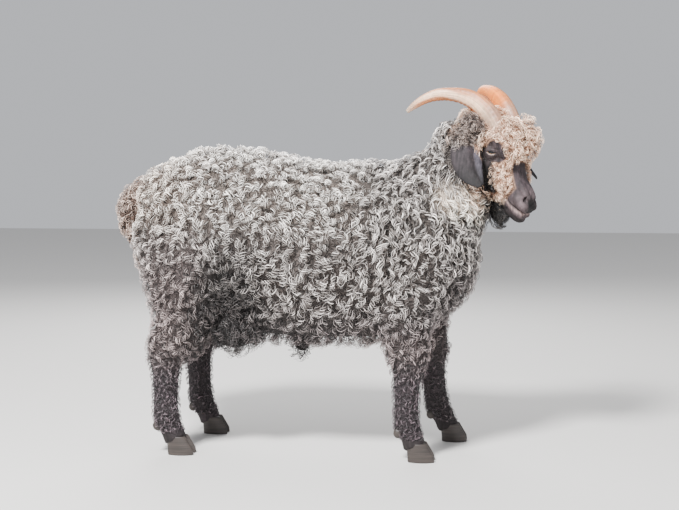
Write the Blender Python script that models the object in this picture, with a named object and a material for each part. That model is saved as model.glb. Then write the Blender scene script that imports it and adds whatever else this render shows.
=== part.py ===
"""Angora goat, life-size and standing, with its head turned to its right. Sizes are in metres.

+X runs towards the chest, +Y to the goat's left and +Z up. The origin is on the ground, under the middle of the
animal. Body, coat clumps and head are fused into one body, which thin cuts then part into neck, head, tail and
legs. Horns, ears, eyes, claws and dewclaws are pieces of their own, each in a socket with a hair's clearance.
"""

import math
import random

import bmesh
import bpy
from mathutils import Matrix, Vector

# ---- driving sizes ----
GAP = 0.0003  # clearance kept between neighbouring pieces
CORE_SHARE = 0.45  # how far the core reaches through the coat, as a share of the coat's depth
UP = Vector((0, 0, 1))
LEFT = Vector((0, 1, 0))
FALL = Vector((-0.20, 0, -1)).normalized()  # the way the fleece falls

HEAD_AT = Vector((0.356, -0.022, 0.722))  # where the skull sits on the neck
HEAD_TURN = math.radians(40)  # to the goat's right
HEAD_ROLL = math.radians(5)  # its left side higher
HEAD_DROP = math.radians(50)  # nose below level
CORONET_Z = 0.042  # top of the claws
CLAW_SPREAD = 0.0125  # each claw's middle from the middle of the foot

# Sections: x, y, z of the middle, half width to the side, half height, depth of the coat.
TORSO = (
    (-0.420, 0, 0.560, 0.030, 0.034, 0.032),
    (-0.397, 0, 0.556, 0.076, 0.074, 0.046),
    (-0.350, 0, 0.536, 0.110, 0.116, 0.054),
    (-0.279, 0, 0.511, 0.128, 0.144, 0.060),
    (-0.179, 0, 0.484, 0.138, 0.156, 0.063),
    (-0.069, 0, 0.458, 0.150, 0.158, 0.064),
    (0.051, 0, 0.453, 0.150, 0.156, 0.062),
    (0.161, 0, 0.462, 0.134, 0.156, 0.060),
    (0.246, 0, 0.470, 0.110, 0.136, 0.058),
    (0.300, 0, 0.484, 0.080, 0.092, 0.052),
    (0.332, 0, 0.492, 0.038, 0.050, 0.044),
)
NECK = (
    (0.131, 0, 0.500, 0.092, 0.118, 0.052),
    (0.216, -0.001, 0.548, 0.086, 0.110, 0.054),
    (0.279, -0.005, 0.604, 0.074, 0.092, 0.054),
    (0.325, -0.012, 0.656, 0.062, 0.078, 0.048),
    (0.353, -0.020, 0.704, 0.054, 0.066, 0.042),
    (0.363, -0.026, 0.728, 0.044, 0.050, 0.036),
)
TAIL = (
    (-0.375, 0, 0.592, 0.022, 0.022, 0.020),
    (-0.410, 0, 0.590, 0.022, 0.022, 0.026),
    (-0.438, 0, 0.570, 0.019, 0.017, 0.030),
    (-0.446, 0, 0.548, 0.013, 0.012, 0.028),
    (-0.447, 0, 0.522, 0.006, 0.006, 0.022),
)
HIND_LEG = (
    (-0.271, 0.066, 0.500, 0.058, 0.092, 0.050),
    (-0.277, 0.094, 0.438, 0.058, 0.086, 0.048),
    (-0.284, 0.106, 0.375, 0.048, 0.066, 0.044),
    (-0.295, 0.110, 0.312, 0.035, 0.046, 0.040),
    (-0.315, 0.111, 0.268, 0.027, 0.038, 0.036),
    (-0.334, 0.112, 0.240, 0.022, 0.034, 0.028),
    (-0.339, 0.112, 0.208, 0.018, 0.024, 0.020),
    (-0.339, 0.112, 0.165, 0.0165, 0.0185, 0.016),
    (-0.340, 0.112, 0.115, 0.0160, 0.0180, 0.015),
    (-0.338, 0.112, 0.082, 0.020, 0.022, 0.012),
    (-0.327, 0.112, 0.056, 0.019, 0.021, 0.008),
    (-0.317, 0.112, 0.030, 0.022, 0.024, 0.005),
)
FORE_LEG = (
    (0.223, 0.078, 0.475, 0.046, 0.080, 0.050),
    (0.207, 0.096, 0.412, 0.042, 0.060, 0.050),
    (0.193, 0.105, 0.352, 0.034, 0.044, 0.044),
    (0.195, 0.108, 0.300, 0.028, 0.034, 0.036),
    (0.201, 0.108, 0.250, 0.024, 0.029, 0.028),
    (0.204, 0.108, 0.214, 0.023, 0.026, 0.022),
    (0.202, 0.108, 0.184, 0.0175, 0.020, 0.019),
    (0.200, 0.108, 0.130, 0.0150, 0.0175, 0.016),
    (0.201, 0.108, 0.084, 0.0185, 0.0215, 0.012),
    (0.211, 0.108, 0.058, 0.0185, 0.0205, 0.008),
    (0.220, 0.108, 0.030, 0.022, 0.024, 0.005),
)
LEG_STEP = {"fore_right": 0.0, "fore_left": 0.068, "hind_right": 0.0, "hind_left": 0.028}  # foot set forward
HEAD = (  # in the skull's own axes: forward along the face, left, up through the forehead
    (-0.036, 0, -0.008, 0.034, 0.036, 0.030),
    (-0.014, 0, -0.002, 0.050, 0.054, 0.036),
    (0.020, 0, 0.000, 0.055, 0.064, 0.040),
    (0.055, 0, 0.000, 0.055, 0.066, 0.040),
    (0.090, 0, -0.005, 0.050, 0.060, 0.032),
    (0.122, 0, -0.011, 0.040, 0.050, 0.020),
    (0.152, 0, -0.014, 0.031, 0.042, 0.010),
    (0.180, 0, -0.014, 0.027, 0.037, 0.003),
    (0.200, 0, -0.014, 0.024, 0.031, 0.002),
    (0.215, 0, -0.012, 0.014, 0.018, 0.002),
)
HEAD_CORE_SHARE = 0.25
MOP = tuple((*row[:5], row[5] + 0.014) for row in HEAD)  # the head with the deeper coat of its crown
EYE = {"at": Vector((0.070, 0.0400, 0.028)), "ball": 0.0155, "lids": 0.0182, "tilt": math.radians(35)}
BARE_ROUND_EYE = 0.026
BARE_BRIDGE = 0.118  # from here on the top of the nose has no curls
LOCK_SIDES = 5
KEPT_FACES = 0.53  # share of the fused body's faces that stay when the short ones along the seams are collapsed

# Horn's middle line in the turned but level head: forward, outward, up; then its half depth.
HORN = (
    (0.077, 0.024, -0.010, 0.0235),
    (0.070, 0.025, 0.015, 0.0245),
    (0.050, 0.027, 0.052, 0.0240),
    (0.020, 0.033, 0.073, 0.0213),
    (-0.015, 0.046, 0.089, 0.0178),
    (-0.055, 0.066, 0.0945, 0.0145),
    (-0.095, 0.084, 0.082, 0.0114),
    (-0.125, 0.092, 0.065, 0.0082),
    (-0.143, 0.095, 0.052, 0.0045),
)
HORN_FLATNESS = 0.72
HORN_RIDGE = 0.035  # height of the growth rings, as a share of the horn's half depth
# Ear's middle line in the turned but level head: forward, outward, up; then half width and cup angle in degrees.
EAR = (
    (0.024, 0.044, 0.006, 0.014, 85),
    (0.026, 0.070, 0.005, 0.021, 72),
    (0.032, 0.087, -0.012, 0.028, 55),
    (0.043, 0.094, -0.036, 0.032, 42),
    (0.056, 0.097, -0.064, 0.031, 34),
    (0.070, 0.096, -0.087, 0.023, 26),
    (0.081, 0.094, -0.103, 0.009, 20),
)
EAR_THICKNESS = 0.005
EAR_FRONT = Vector((0.67, -0.74, 0))  # the way across the ear to its front edge

# Coat clumps, zone by zone: which share of the part they cover, the spacing between roots, their length, and
# their half width and half thickness as shares of the spacing.
FLEECE = {
    "torso": {"span": (-0.02, 1.05), "spacing": 0.088, "length": 0.125, "width": 0.46, "thickness": 0.24},
    "neck": {"span": (0.28, 0.97), "spacing": 0.082, "length": 0.110, "width": 0.46, "thickness": 0.24},
    "tail": {"span": (0.10, 0.98), "spacing": 0.070, "length": 0.070, "width": 0.40, "thickness": 0.24},
    "head": {"span": (0.04, 0.60), "spacing": 0.064, "length": 0.066, "width": 0.46, "thickness": 0.24},
    "mop": {"span": (0.0, 0.56), "spacing": 0.043, "length": 0.052, "width": 0.54, "thickness": 0.32},
    "thigh": {"span": (0.14, 0.50), "spacing": 0.098, "length": 0.110, "width": 0.42, "thickness": 0.20},
    "shank": {"span": (0.56, 0.84), "spacing": 0.064, "length": 0.064, "width": 0.38, "thickness": 0.14},
    "arm": {"span": (0.14, 0.50), "spacing": 0.092, "length": 0.100, "width": 0.42, "thickness": 0.20},
    "cannon": {"span": (0.56, 0.84), "spacing": 0.064, "length": 0.064, "width": 0.38, "thickness": 0.14},
}
MATERIALS = {  # colour, roughness
    "fleece": ((0.36, 0.33, 0.30), 0.9),
    "dark_hair": ((0.10, 0.08, 0.075), 0.85),
    "horn": ((0.50, 0.34, 0.20), 0.5),
    "claw": ((0.09, 0.075, 0.065), 0.55),
    "eye": ((0.36, 0.22, 0.06), 0.1),
}


# ---- sections along a body part ----
def row_at(rows, t):
    """The row a share t of the way along, on the smooth curve through them all."""
    place = min(max(t, 0.0), 1.0) * (len(rows) - 1)
    i = min(int(place), len(rows) - 2)
    f = place - i
    around = (rows[max(i - 1, 0)], rows[i], rows[i + 1], rows[min(i + 2, len(rows) - 1)])
    return [
        0.5 * (2 * q + (r - p) * f + (2 * p - 5 * q + 4 * r - s) * f * f + (3 * q - p - 3 * r + s) * f**3)
        for p, q, r, s in zip(*around)
    ]


def axes_at(rows, t):
    """Middle, the way along, to the side and up, at a share t of the way along."""
    step = 0.01
    before, after = row_at(rows, t - step), row_at(rows, t + step)
    along = (Vector(after[:3]) - Vector(before[:3])).normalized()
    side = (LEFT - along * LEFT.dot(along)).normalized()
    return Vector(row_at(rows, t)[:3]), along, side, along.cross(side)


def on_coat(rows, t, angle, depth):
    """A point on a section and its outward direction, a share depth of the way through the coat."""
    middle, _, side, up = axes_at(rows, t)
    _, _, _, half_side, half_up, coat = row_at(rows, t)
    a, b = half_side + coat * depth, half_up + coat * depth
    c, s = math.cos(angle), math.sin(angle)
    return middle + side * a * c + up * b * s, (side * c / a + up * s / b).normalized()


def walk(rows, t, angle, way, distance):
    """Where one comes to on the coat, as t and angle, going a distance from a place in a direction."""
    nudge = 1e-3
    here, outward = on_coat(rows, t, angle, 1)
    by_t = (on_coat(rows, t + nudge, angle, 1)[0] - on_coat(rows, t - nudge, angle, 1)[0]) / (2 * nudge)
    by_angle = (on_coat(rows, t, angle + nudge, 1)[0] - here) / nudge
    flat = way - outward * way.dot(outward)
    if flat.length < 1e-4:
        return t, angle
    flat = flat.normalized() * distance
    a, b, c = by_t.length_squared, by_t.dot(by_angle), by_angle.length_squared
    p, q = by_t.dot(flat), by_angle.dot(flat)
    spread = max(a * c - b * b, 1e-9)
    return min(max(t + (p * c - q * b) / spread, 0.0), 1.0), angle + (q * a - p * b) / spread


def length_of(rows, steps=40):
    points = [Vector(row_at(rows, i / steps)[:3]) for i in range(steps + 1)]
    return sum((b - a).length for a, b in zip(points, points[1:]))


def mirrored(rows):
    """The same part on the goat's right."""
    return tuple((row[0], -row[1], *row[2:]) for row in rows)


def stepped(rows, ahead):
    """A leg whose foot stands ahead of its usual place."""
    top = rows[0][2]
    return tuple((row[0] + ahead * (1 - row[2] / top), *row[1:]) for row in rows)


LEVEL_HEAD = Matrix.Translation(HEAD_AT) @ Matrix.Rotation(-HEAD_TURN, 4, "Z") @ Matrix.Rotation(HEAD_ROLL, 4, "X")
SKULL = LEVEL_HEAD @ Matrix.Rotation(HEAD_DROP, 4, "Y")


# ---- meshes ----
def closed_mesh(name, points, faces, collection):
    mesh = bpy.data.meshes.new(name)
    mesh.from_pydata([tuple(p) for p in points], [], faces)
    work = bmesh.new()
    work.from_mesh(mesh)
    bmesh.ops.recalc_face_normals(work, faces=work.faces)
    bmesh.ops.triangulate(work, faces=work.faces)
    work.to_mesh(mesh)
    work.free()
    made = bpy.data.objects.new(name, mesh)
    collection.objects.link(made)
    return made


def rings_to_faces(count, sides):
    """Faces of a tube of rings whose ends close on two more points, the first and the last."""
    faces = []
    for k in range(sides):
        n = (k + 1) % sides
        faces.append((0, 1 + n, 1 + k))
        for r in range(count - 1):
            a, b = 1 + r * sides, 1 + (r + 1) * sides
            faces.append((a + k, a + n, b + n, b + k))
        last = 1 + (count - 1) * sides
        faces.append((last + k, last + n, count * sides + 1))
    return faces


def loft(name, rows, collection, rings, sides, depth=CORE_SHARE, place=None):
    """A closed body through a part's sections."""
    points = [row_at(rows, 0)[:3]]
    for r in range(rings):
        t = r / (rings - 1)
        points += [on_coat(rows, t, 2 * math.pi * k / sides, depth)[0] for k in range(sides)]
    points.append(row_at(rows, 1)[:3])
    place = place or Matrix()
    return closed_mesh(name, [place @ Vector(p) for p in points], rings_to_faces(rings, sides), collection)


def ball(name, at, size, collection, segments=16, rings=10, place=None):
    """An ellipsoid with the given half sizes."""
    work = bmesh.new()
    bmesh.ops.create_uvsphere(work, u_segments=segments, v_segments=rings, radius=1.0)
    bmesh.ops.triangulate(work, faces=work.faces)
    mesh = bpy.data.meshes.new(name)
    work.to_mesh(mesh)
    work.free()
    half = size if isinstance(size, tuple) else (size,) * 3
    mesh.transform((place or Matrix()) @ Matrix.Translation(at) @ Matrix.Diagonal((*half, 1)))
    made = bpy.data.objects.new(name, mesh)
    collection.objects.link(made)
    return made


def lock(name, rows, place, zone, t, angle, rng, collection):
    """One rounded clump: sunk into the core at its root, then lying on the coat the way the fleece falls."""
    coat = row_at(rows, t)[5]
    turn = place.to_quaternion()
    outward = turn @ on_coat(rows, t, angle, 1)[1]
    parting = LEFT * outward.y * max(0.0, outward.z) * 1.5
    hang = max(0.0, FALL.dot(outward))
    lie = turn.inverted() @ (FALL + parting)
    length = zone["length"] * rng.uniform(0.9, 1.12)
    half_width = zone["spacing"] * zone["width"] * rng.uniform(0.93, 1.07)
    thick = min(zone["spacing"] * zone["thickness"], coat * 0.42)
    wave = rng.choice((-1, 1)) * 0.22 * zone["spacing"]
    course = []
    spot = (t, angle)
    for along, depth, sway in ((0, 0.12, 0), (0.10, 0.62, 0.4), (0.45, 1.0, 1), (0.78, 1.0, -0.6), (1, 0.90, 0.5)):
        step = along - (course[-1][0] if course else 0)
        spot = walk(rows, *spot, lie, step * length * (1 - 0.55 * hang))
        point, away = on_coat(rows, *spot, depth - thick / coat * min(1, depth + 0.1))
        across = away.cross(lie).normalized() if away.cross(lie).length > 0.1 else away.orthogonal()
        course.append((along, point + across * wave * sway + away * hang * 0.25 * along * length, away))
    points = [course[0][1]]
    for i, share in ((1, 0.80), (2, 1.0), (3, 0.68)):
        onward = (course[i + 1][1] - course[i - 1][1]).normalized()
        side = onward.cross(course[i][2]).normalized()
        top = side.cross(onward)
        for k in range(LOCK_SIDES):
            a = 2 * math.pi * k / LOCK_SIDES
            girth = side * half_width * math.cos(a) + top * thick * math.sin(a)
            points.append(course[i][1] + girth * share)
    points.append(course[-1][1])
    return closed_mesh(name, [place @ p for p in points], rings_to_faces(3, LOCK_SIDES), collection)


# ---- one node after another ----
def plain_mesh(obj):
    """The object with its modifiers applied."""
    mesh = bpy.data.meshes.new_from_object(obj.evaluated_get(bpy.context.evaluated_depsgraph_get()))
    obj.modifiers.clear()
    obj.data = mesh
    return obj


def remove_all(collection):
    for obj in list(collection.objects):
        bpy.data.objects.remove(obj)
    bpy.data.collections.remove(collection)


def new_collection(name):
    made = bpy.data.collections.new(name)
    bpy.context.scene.collection.children.link(made)
    return made


def fuse(obj, collection):
    """Joins the collection's pieces to the object in one union, and removes them."""
    change = obj.modifiers.new("fuse", "BOOLEAN")
    change.operation = "UNION"
    change.operand_type = "COLLECTION"
    change.collection = collection
    change.solver = "MANIFOLD"
    plain_mesh(obj)
    remove_all(collection)
    return obj


def carve(obj, collection, operation="DIFFERENCE"):
    """Cuts the collection's pieces from the object one after another, and removes them."""
    for cutter in list(collection.objects):
        change = obj.modifiers.new("carve", "BOOLEAN")
        change.operation = operation
        change.object = cutter
        change.solver = "MANIFOLD"
        plain_mesh(obj)
    remove_all(collection)
    return obj


def keep_largest(obj):
    """Drops scraps and inner shells: only the surface with the most faces stays."""
    work = bmesh.new()
    work.from_mesh(obj.data)
    work.verts.ensure_lookup_table()
    seen = set()
    shells = []
    for start in work.verts:
        if start.index in seen:
            continue
        seen.add(start.index)
        shell, stack = [], [start]
        while stack:
            vert = stack.pop()
            shell.append(vert)
            for edge in vert.link_edges:
                other = edge.other_vert(vert)
                if other.index not in seen:
                    seen.add(other.index)
                    stack.append(other)
        shells.append(shell)
    shells.sort(key=len)
    scraps = [vert for shell in shells[:-1] for vert in shell]
    bmesh.ops.delete(work, geom=scraps, context="VERTS")
    bmesh.ops.triangulate(work, faces=work.faces)
    work.to_mesh(obj.data)
    work.free()
    return obj


def region(name, planes, grow, collection):
    """The convex space behind every plane (point, outward direction), grown by a distance."""
    work = bmesh.new()
    bmesh.ops.create_cube(work, size=3.0)
    for point, outward in planes:
        outward = Vector(outward).normalized()
        cut = bmesh.ops.bisect_plane(
            work,
            geom=work.verts[:] + work.edges[:] + work.faces[:],
            plane_co=Vector(point) + outward * grow,
            plane_no=outward,
            clear_outer=True,
        )
        edges = [item for item in cut["geom_cut"] if isinstance(item, bmesh.types.BMEdge)]
        bmesh.ops.edgeloop_fill(work, edges=edges)
    bmesh.ops.recalc_face_normals(work, faces=work.faces)
    bmesh.ops.triangulate(work, faces=work.faces)
    mesh = bpy.data.meshes.new(name)
    work.to_mesh(mesh)
    work.free()
    made = bpy.data.objects.new(name, mesh)
    collection.objects.link(made)
    return made


def material(name):
    made = bpy.data.materials.get(name)
    if made is None:
        colour, roughness = MATERIALS[name]
        made = bpy.data.materials.new(name)
        made.use_nodes = True
        shader = made.node_tree.nodes["Principled BSDF"]
        shader.inputs["Base Color"].default_value = (*colour, 1)
        shader.inputs["Roughness"].default_value = roughness
        made.diffuse_color = (*colour, 1)
    return made


def finish_node(obj, collection, name, skin):
    """Makes the object a node of the goat, with its material."""
    for old in list(obj.users_collection):
        old.objects.unlink(obj)
    collection.objects.link(obj)
    obj.name = name
    obj.data.name = name
    obj.data.materials.clear()
    obj.data.materials.append(material(skin))
    return obj


# ---- body ----
def legs():
    """Each leg's name and sections."""
    for name, ahead in LEG_STEP.items():
        rows = stepped(FORE_LEG if name.startswith("fore") else HIND_LEG, ahead)
        yield name, mirrored(rows) if name.endswith("right") else rows


def eye_at(side):
    return Vector((EYE["at"].x, EYE["at"].y * side, EYE["at"].z))


def skull_core(collection):
    """Head without its curls: brow, lids, lips and chin, with the mouth's line and the nostrils cut in."""
    head = loft("head_core", HEAD, collection, rings=13, sides=16, depth=HEAD_CORE_SHARE, place=SKULL)
    added = new_collection("head_forms")
    for side in (-1, 1):
        eye = eye_at(side)
        ball("lids", eye, (EYE["lids"] * 1.1, EYE["lids"], EYE["lids"]), added, 10, 7, SKULL)
        ball("brow", eye + Vector((-0.006, -0.012 * side, 0.011)), (0.024, 0.015, 0.013), added, 8, 5, SKULL)
        ball("cheek", Vector((0.068, 0.030 * side, -0.034)), (0.044, 0.027, 0.030), added, 8, 5, SKULL)
        ball("lip", Vector((0.195, 0.0125 * side, -0.012)), (0.026, 0.0165, 0.021), added, 10, 6, SKULL)
        ball("nose_wing", Vector((0.205, 0.0105 * side, 0.000)), (0.014, 0.0100, 0.0100), added, 8, 5, SKULL)
    ball("chin", Vector((0.180, 0, -0.041)), (0.034, 0.0215, 0.0175), added, 10, 6, SKULL)
    fuse(head, added)
    cut = new_collection("head_cuts")
    for side in (-1, 1):
        nostril = SKULL @ Matrix.Translation((0.2155, 0.0110 * side, -0.001))
        nostril = nostril @ Matrix.Rotation(math.radians(38 * side), 4, "X")
        ball("nostril", Vector(), (0.008, 0.0024, 0.0058), cut, 8, 6, nostril)
    slit = SKULL @ Matrix.Translation((0.196, 0, -0.0275)) @ Matrix.Rotation(math.radians(-9), 4, "Y")
    block("mouth", (0.070, 0.09, 0.0014), slit, cut)
    uncut = ball("inside", Vector((0.186, 0, -0.028)), (0.028, 0.0225, 0.030), new_collection("inside"), 8, 6, SKULL)
    carve(cut.objects["mouth"], uncut.users_collection[0])
    return carve(head, cut)


def block(name, size, place, collection):
    work = bmesh.new()
    bmesh.ops.create_cube(work, size=1)
    bmesh.ops.triangulate(work, faces=work.faces)
    mesh = bpy.data.meshes.new(name)
    work.to_mesh(mesh)
    work.free()
    mesh.transform(place @ Matrix.Diagonal((*size, 1)))
    made = bpy.data.objects.new(name, mesh)
    collection.objects.link(made)
    return made


def fleece(zone, name, rows, rng, collection, place=Matrix()):
    """Clumps in staggered rings along one part, out to the coat's full depth."""
    start, end = zone["span"]
    rings = max(2, round(length_of(rows) * (end - start) / zone["spacing"]))
    for r in range(rings):
        t = start + (end - start) * (r + 0.5) / rings
        _, _, _, half_side, half_up, coat = row_at(rows, t)
        girth = 2 * math.pi * math.sqrt(((half_side + coat * 0.6) ** 2 + (half_up + coat * 0.6) ** 2) / 2)
        count = max(3, round(girth / zone["spacing"]))
        crown = [math.pi / 2] if r % 2 and count > 8 else []  # covers the parting along the spine
        around = [math.pi / 2 + 2 * math.pi * (k + 0.5 * (r % 2)) / count for k in range(count)]
        for k, angle in enumerate(around + crown):
            angle += rng.uniform(-0.12, 0.12) * 2 * math.pi / count
            here = t + rng.uniform(-0.12, 0.12) * (end - start) / rings
            if not (place is SKULL and off_head(rows, here, angle, zone["length"])):
                lock(f"{name}_{r}_{k}", rows, place, zone, here, angle, rng, collection)


def off_head(rows, t, angle, length):
    """Whether a curl with its root here is left out: over an eye, on the bare nose, or in the other zone's place."""
    root = on_coat(HEAD, t, angle, 0.5)[0]
    lie = SKULL.to_quaternion().inverted() @ FALL
    eye = eye_at(1 if root.y > 0 else -1)
    spots = [walk(rows, t, angle, lie, length * share) for share in (0, 0.5, 1)]
    over_eye = min((on_coat(HEAD, *spot, 0.5)[0] - eye).length for spot in spots) < BARE_ROUND_EYE
    on_top = math.sin(angle) > 0.2
    return over_eye or (root.x > BARE_BRIDGE and root.z > 0.01) or on_top != (rows is MOP)


def horn(name, side, collection):
    """A flattened, tapering horn with growth rings near its root."""
    rows = tuple((x, y, z, r * HORN_FLATNESS, r, 0.0) for x, y, z, r in HORN)
    rings, sides = 13, 8
    points = [row_at(rows, 0)[:3]]
    for i in range(rings):
        t = i / (rings - 1)
        middle, _, lateral, up = axes_at(rows, t)
        _, _, _, wide, deep, _ = row_at(rows, t)
        ridge = 1 + (HORN_RIDGE * (1 - t) if i % 2 else 0)
        for k in range(sides):
            a = 2 * math.pi * (k + 0.5) / sides
            points.append(middle + lateral * wide * ridge * math.cos(a) + up * deep * ridge * math.sin(a))
    points.append(Vector(row_at(rows, 1)[:3]) + axes_at(rows, 1)[1] * 0.003)
    flip = Matrix.Diagonal((1, side, 1, 1))
    points = [LEVEL_HEAD @ flip @ Vector(p) for p in points]
    return closed_mesh(name, points, rings_to_faces(rings, sides), collection)


def ear(name, side, collection):
    """A hanging, cupped ear: one leaf-shaped sheet, hollow towards the neck."""
    steps, across = 8, 4
    rows = tuple((*row, 0) for row in EAR)
    loops = []
    for i in range(steps + 1):
        t = i / steps
        x, y, z, half, cup, _ = row_at(rows, t)
        ahead = (Vector(row_at(rows, t + 0.02)[:3]) - Vector(row_at(rows, t - 0.02)[:3])).normalized()
        width = (EAR_FRONT - ahead * EAR_FRONT.dot(ahead)).normalized()
        outward = width.cross(ahead)
        bend = math.radians(cup)
        radius = half / bend
        faces = []
        for shift in (EAR_THICKNESS / 2, -EAR_THICKNESS / 2):
            turns = [bend * (2 * k / across - 1) for k in range(across + 1)]
            back = Vector((x, y, z)) - outward * radius
            faces.append([back + (width * math.sin(a) + outward * math.cos(a)) * (radius + shift) for a in turns])
        loops.append(faces[0] + faces[1][::-1])
    flip = Matrix.Diagonal((1, side, 1, 1))
    points = [LEVEL_HEAD @ flip @ p for loop in loops for p in loop]
    return closed_mesh(name, points, sheet_faces(steps + 1, across), collection)


def sheet_faces(count, across):
    """Faces of a sheet with two sides, whose loops run out along one side and back along the other."""
    around = 2 * across + 2
    faces = []
    for r in range(count - 1):
        for k in range(around):
            n = (k + 1) % around
            faces.append((r * around + k, r * around + n, (r + 1) * around + n, (r + 1) * around + k))
    for first in (0, (count - 1) * around):
        for k in range(across):
            faces.append((first + k, first + k + 1, first + around - 2 - k, first + around - 1 - k))
    return faces


def claw(name, foot, side, collection):
    """One half of the cloven hoof, flat underneath, standing beside its twin."""
    rings = ((0.0, 0.014, 0.030, 0.0112), (0.012, 0.013, 0.0295, 0.0112), (CORONET_Z - GAP, 0.003, 0.022, 0.0100))
    sides = 8
    middle = foot.y + side * CLAW_SPREAD
    points = [Vector((foot.x + rings[0][1], middle, 0))]
    for z, ahead, length, width in rings:
        for k in range(sides):
            a = 2 * math.pi * k / sides
            swell = 0.80 if math.sin(a) * side < 0 else 1.0
            half = width * swell * (1 - 0.28 * max(0.0, math.cos(a)) ** 2)
            points.append(Vector((foot.x + ahead + length * math.cos(a), middle + half * math.sin(a), z)))
    points.append(Vector((foot.x, middle, CORONET_Z - GAP)))
    return closed_mesh(name, points, rings_to_faces(len(rings), sides), collection)


def dewclaw(name, rows, side, collection):
    """A small blunt claw at the back of the pastern."""
    at = Vector(row_at(rows, 0.86)[:3])
    at += Vector((-0.024, side * 0.013, -0.004))
    return ball(name, at, (0.010, 0.0062, 0.011), collection, 6, 4)


def socket_for(piece, collection):
    """The piece grown by a little more than the gap, to cut its place out of what it is set in."""
    work = bmesh.new()
    work.from_mesh(piece.data)
    work.normal_update()
    for vert in work.verts:
        vert.co += vert.normal * 2 * GAP
    mesh = bpy.data.meshes.new(piece.name + "_socket")
    work.to_mesh(mesh)
    work.free()
    made = bpy.data.objects.new(mesh.name, mesh)
    collection.objects.link(made)
    return made


def set_in_pieces(goat, leg_rows):
    """Horns, ears, eyes, claws and dewclaws; returns those that sit in a socket."""
    inset = []
    for side, hand in ((-1, "right"), (1, "left")):
        eye = ball("eye", eye_at(side), EYE["ball"], goat, 12, 7, SKULL)
        inset.append(finish_node(eye, goat, "eye_" + hand, "eye"))
        inset.append(finish_node(horn("horn", side, goat), goat, "horn_" + hand, "horn"))
        inset.append(finish_node(ear("ear", side, goat), goat, "ear_" + hand, "dark_hair"))
    for leg, rows in leg_rows.items():
        for side, place in ((-1, "rightward"), (1, "leftward")):
            label = leg + "_" + place
            foot = Vector(row_at(rows, 1)[:3])
            finish_node(claw("claw", foot, side, goat), goat, "claw_" + label, "claw")
            inset.append(finish_node(dewclaw("dewclaw", rows, side, goat), goat, "dewclaw_" + label, "claw"))
    return inset


def whole_body(leg_rows, rng):
    """Trunk, neck, head, legs and tail with all their clumps, fused into one body."""
    pieces = new_collection("pieces")
    loft("neck_core", NECK, pieces, rings=8, sides=14)
    loft("tail_core", TAIL, pieces, rings=6, sides=8)
    for name, rows in leg_rows.items():
        loft(name + "_core", rows, pieces, rings=12, sides=8)
    head_parts = new_collection("head_parts")
    skull = skull_core(head_parts)
    head_parts.objects.unlink(skull)
    pieces.objects.link(skull)
    bpy.data.collections.remove(head_parts)
    for zone, rows in (("torso", TORSO), ("neck", NECK), ("tail", TAIL)):
        fleece(FLEECE[zone], zone, rows, rng, pieces)
    for zone, rows in (("head", HEAD), ("mop", MOP)):
        fleece(FLEECE[zone], zone, rows, rng, pieces, SKULL)
    for name, rows in leg_rows.items():
        for zone in ("arm", "cannon") if name.startswith("fore") else ("thigh", "shank"):
            fleece(FLEECE[zone], name + zone, rows, rng, pieces)
    body = fuse(loft("torso_core", TORSO, new_collection("body"), rings=12, sides=16), pieces)
    keep_largest(body)
    thin = body.modifiers.new("thin", "DECIMATE")
    thin.ratio = KEPT_FACES
    return keep_largest(plain_mesh(body))


def eye_openings(collection):
    """Almond-shaped cutters that open the lids in front of each eye."""
    for side in (-1, 1):
        middle = eye_at(side) + Vector((0, 0.0170 * side, 0))
        place = SKULL @ Matrix.Translation(middle) @ Matrix.Rotation(-EYE["tilt"], 4, "Y")
        ball("eye_opening", Vector(), (0.0120, 0.0068, 0.0062), collection, 10, 6, place)


def parting_planes(legs_named):
    """Each part's planes, as point and outward direction: the part is what lies behind all of its own."""
    poll = (HEAD_AT + Vector((-0.020, 0.014, 0.0)), Vector((0.80, -0.40, 0.28)))
    throat = (Vector((0.273, 0, 0.578)), Vector((-0.76, 0, -0.65)))
    parts = {
        "head": [(poll[0], -poll[1]), throat],
        "neck": [poll, throat],
        "tail": [(Vector((-0.401, 0, 0.55)), Vector((1, 0, -0.10))), (Vector((0, 0.047, 0)), LEFT),
                 (Vector((0, -0.047, 0)), -LEFT), (Vector((0, 0, 0.475)), -UP)],
    }
    for name in legs_named:
        hand = -1 if name.endswith("right") else 1
        if name.startswith("hind"):
            top = (Vector((-0.259, 0.02 * hand, 0.365)), Vector((0.42, -0.46 * hand, 0.78)))
            end = (Vector((-0.174, 0, 0)), Vector((1, 0, 0)))
            joint = Vector((0, 0, 0.222))
        else:
            top = (Vector((0.201, 0.05 * hand, 0.345)), Vector((0, -0.30 * hand, 0.95)))
            end = (Vector((0.086, 0, 0)), Vector((-1, 0, 0)))
            joint = Vector((0, 0, 0.205))
        inner = (Vector((0, 0.030 * hand, 0)), -LEFT * hand)
        leg = name.replace("_", "_leg_")
        parts[leg + "_upper"] = [top, (joint, -UP), end, inner]
        parts[leg + "_lower"] = [(joint, UP), (Vector((0, 0, CORONET_Z)), -UP), end, inner]
    return parts


def part_body(body, goat, legs_named):
    """Thin plane cuts part the body into head, neck, tail, legs and what is left, the torso."""
    parts = parting_planes(legs_named)
    spaces = new_collection("spaces")
    for name, planes in parts.items():
        region(name + "_space", planes, GAP / 2, spaces)
        holder = new_collection(name + "_cell")
        piece = region(name, planes, -GAP / 2, holder)
        source = new_collection(name + "_source")
        copy = body.copy()
        copy.data = body.data.copy()
        source.objects.link(copy)
        carve(piece, source, "INTERSECT")
        finish_node(keep_largest(piece), goat, name, "dark_hair" if name.endswith("lower") else "fleece")
        bpy.data.collections.remove(holder)
    carve(body, spaces)
    finish_node(keep_largest(body), goat, "torso", "fleece")


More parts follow.
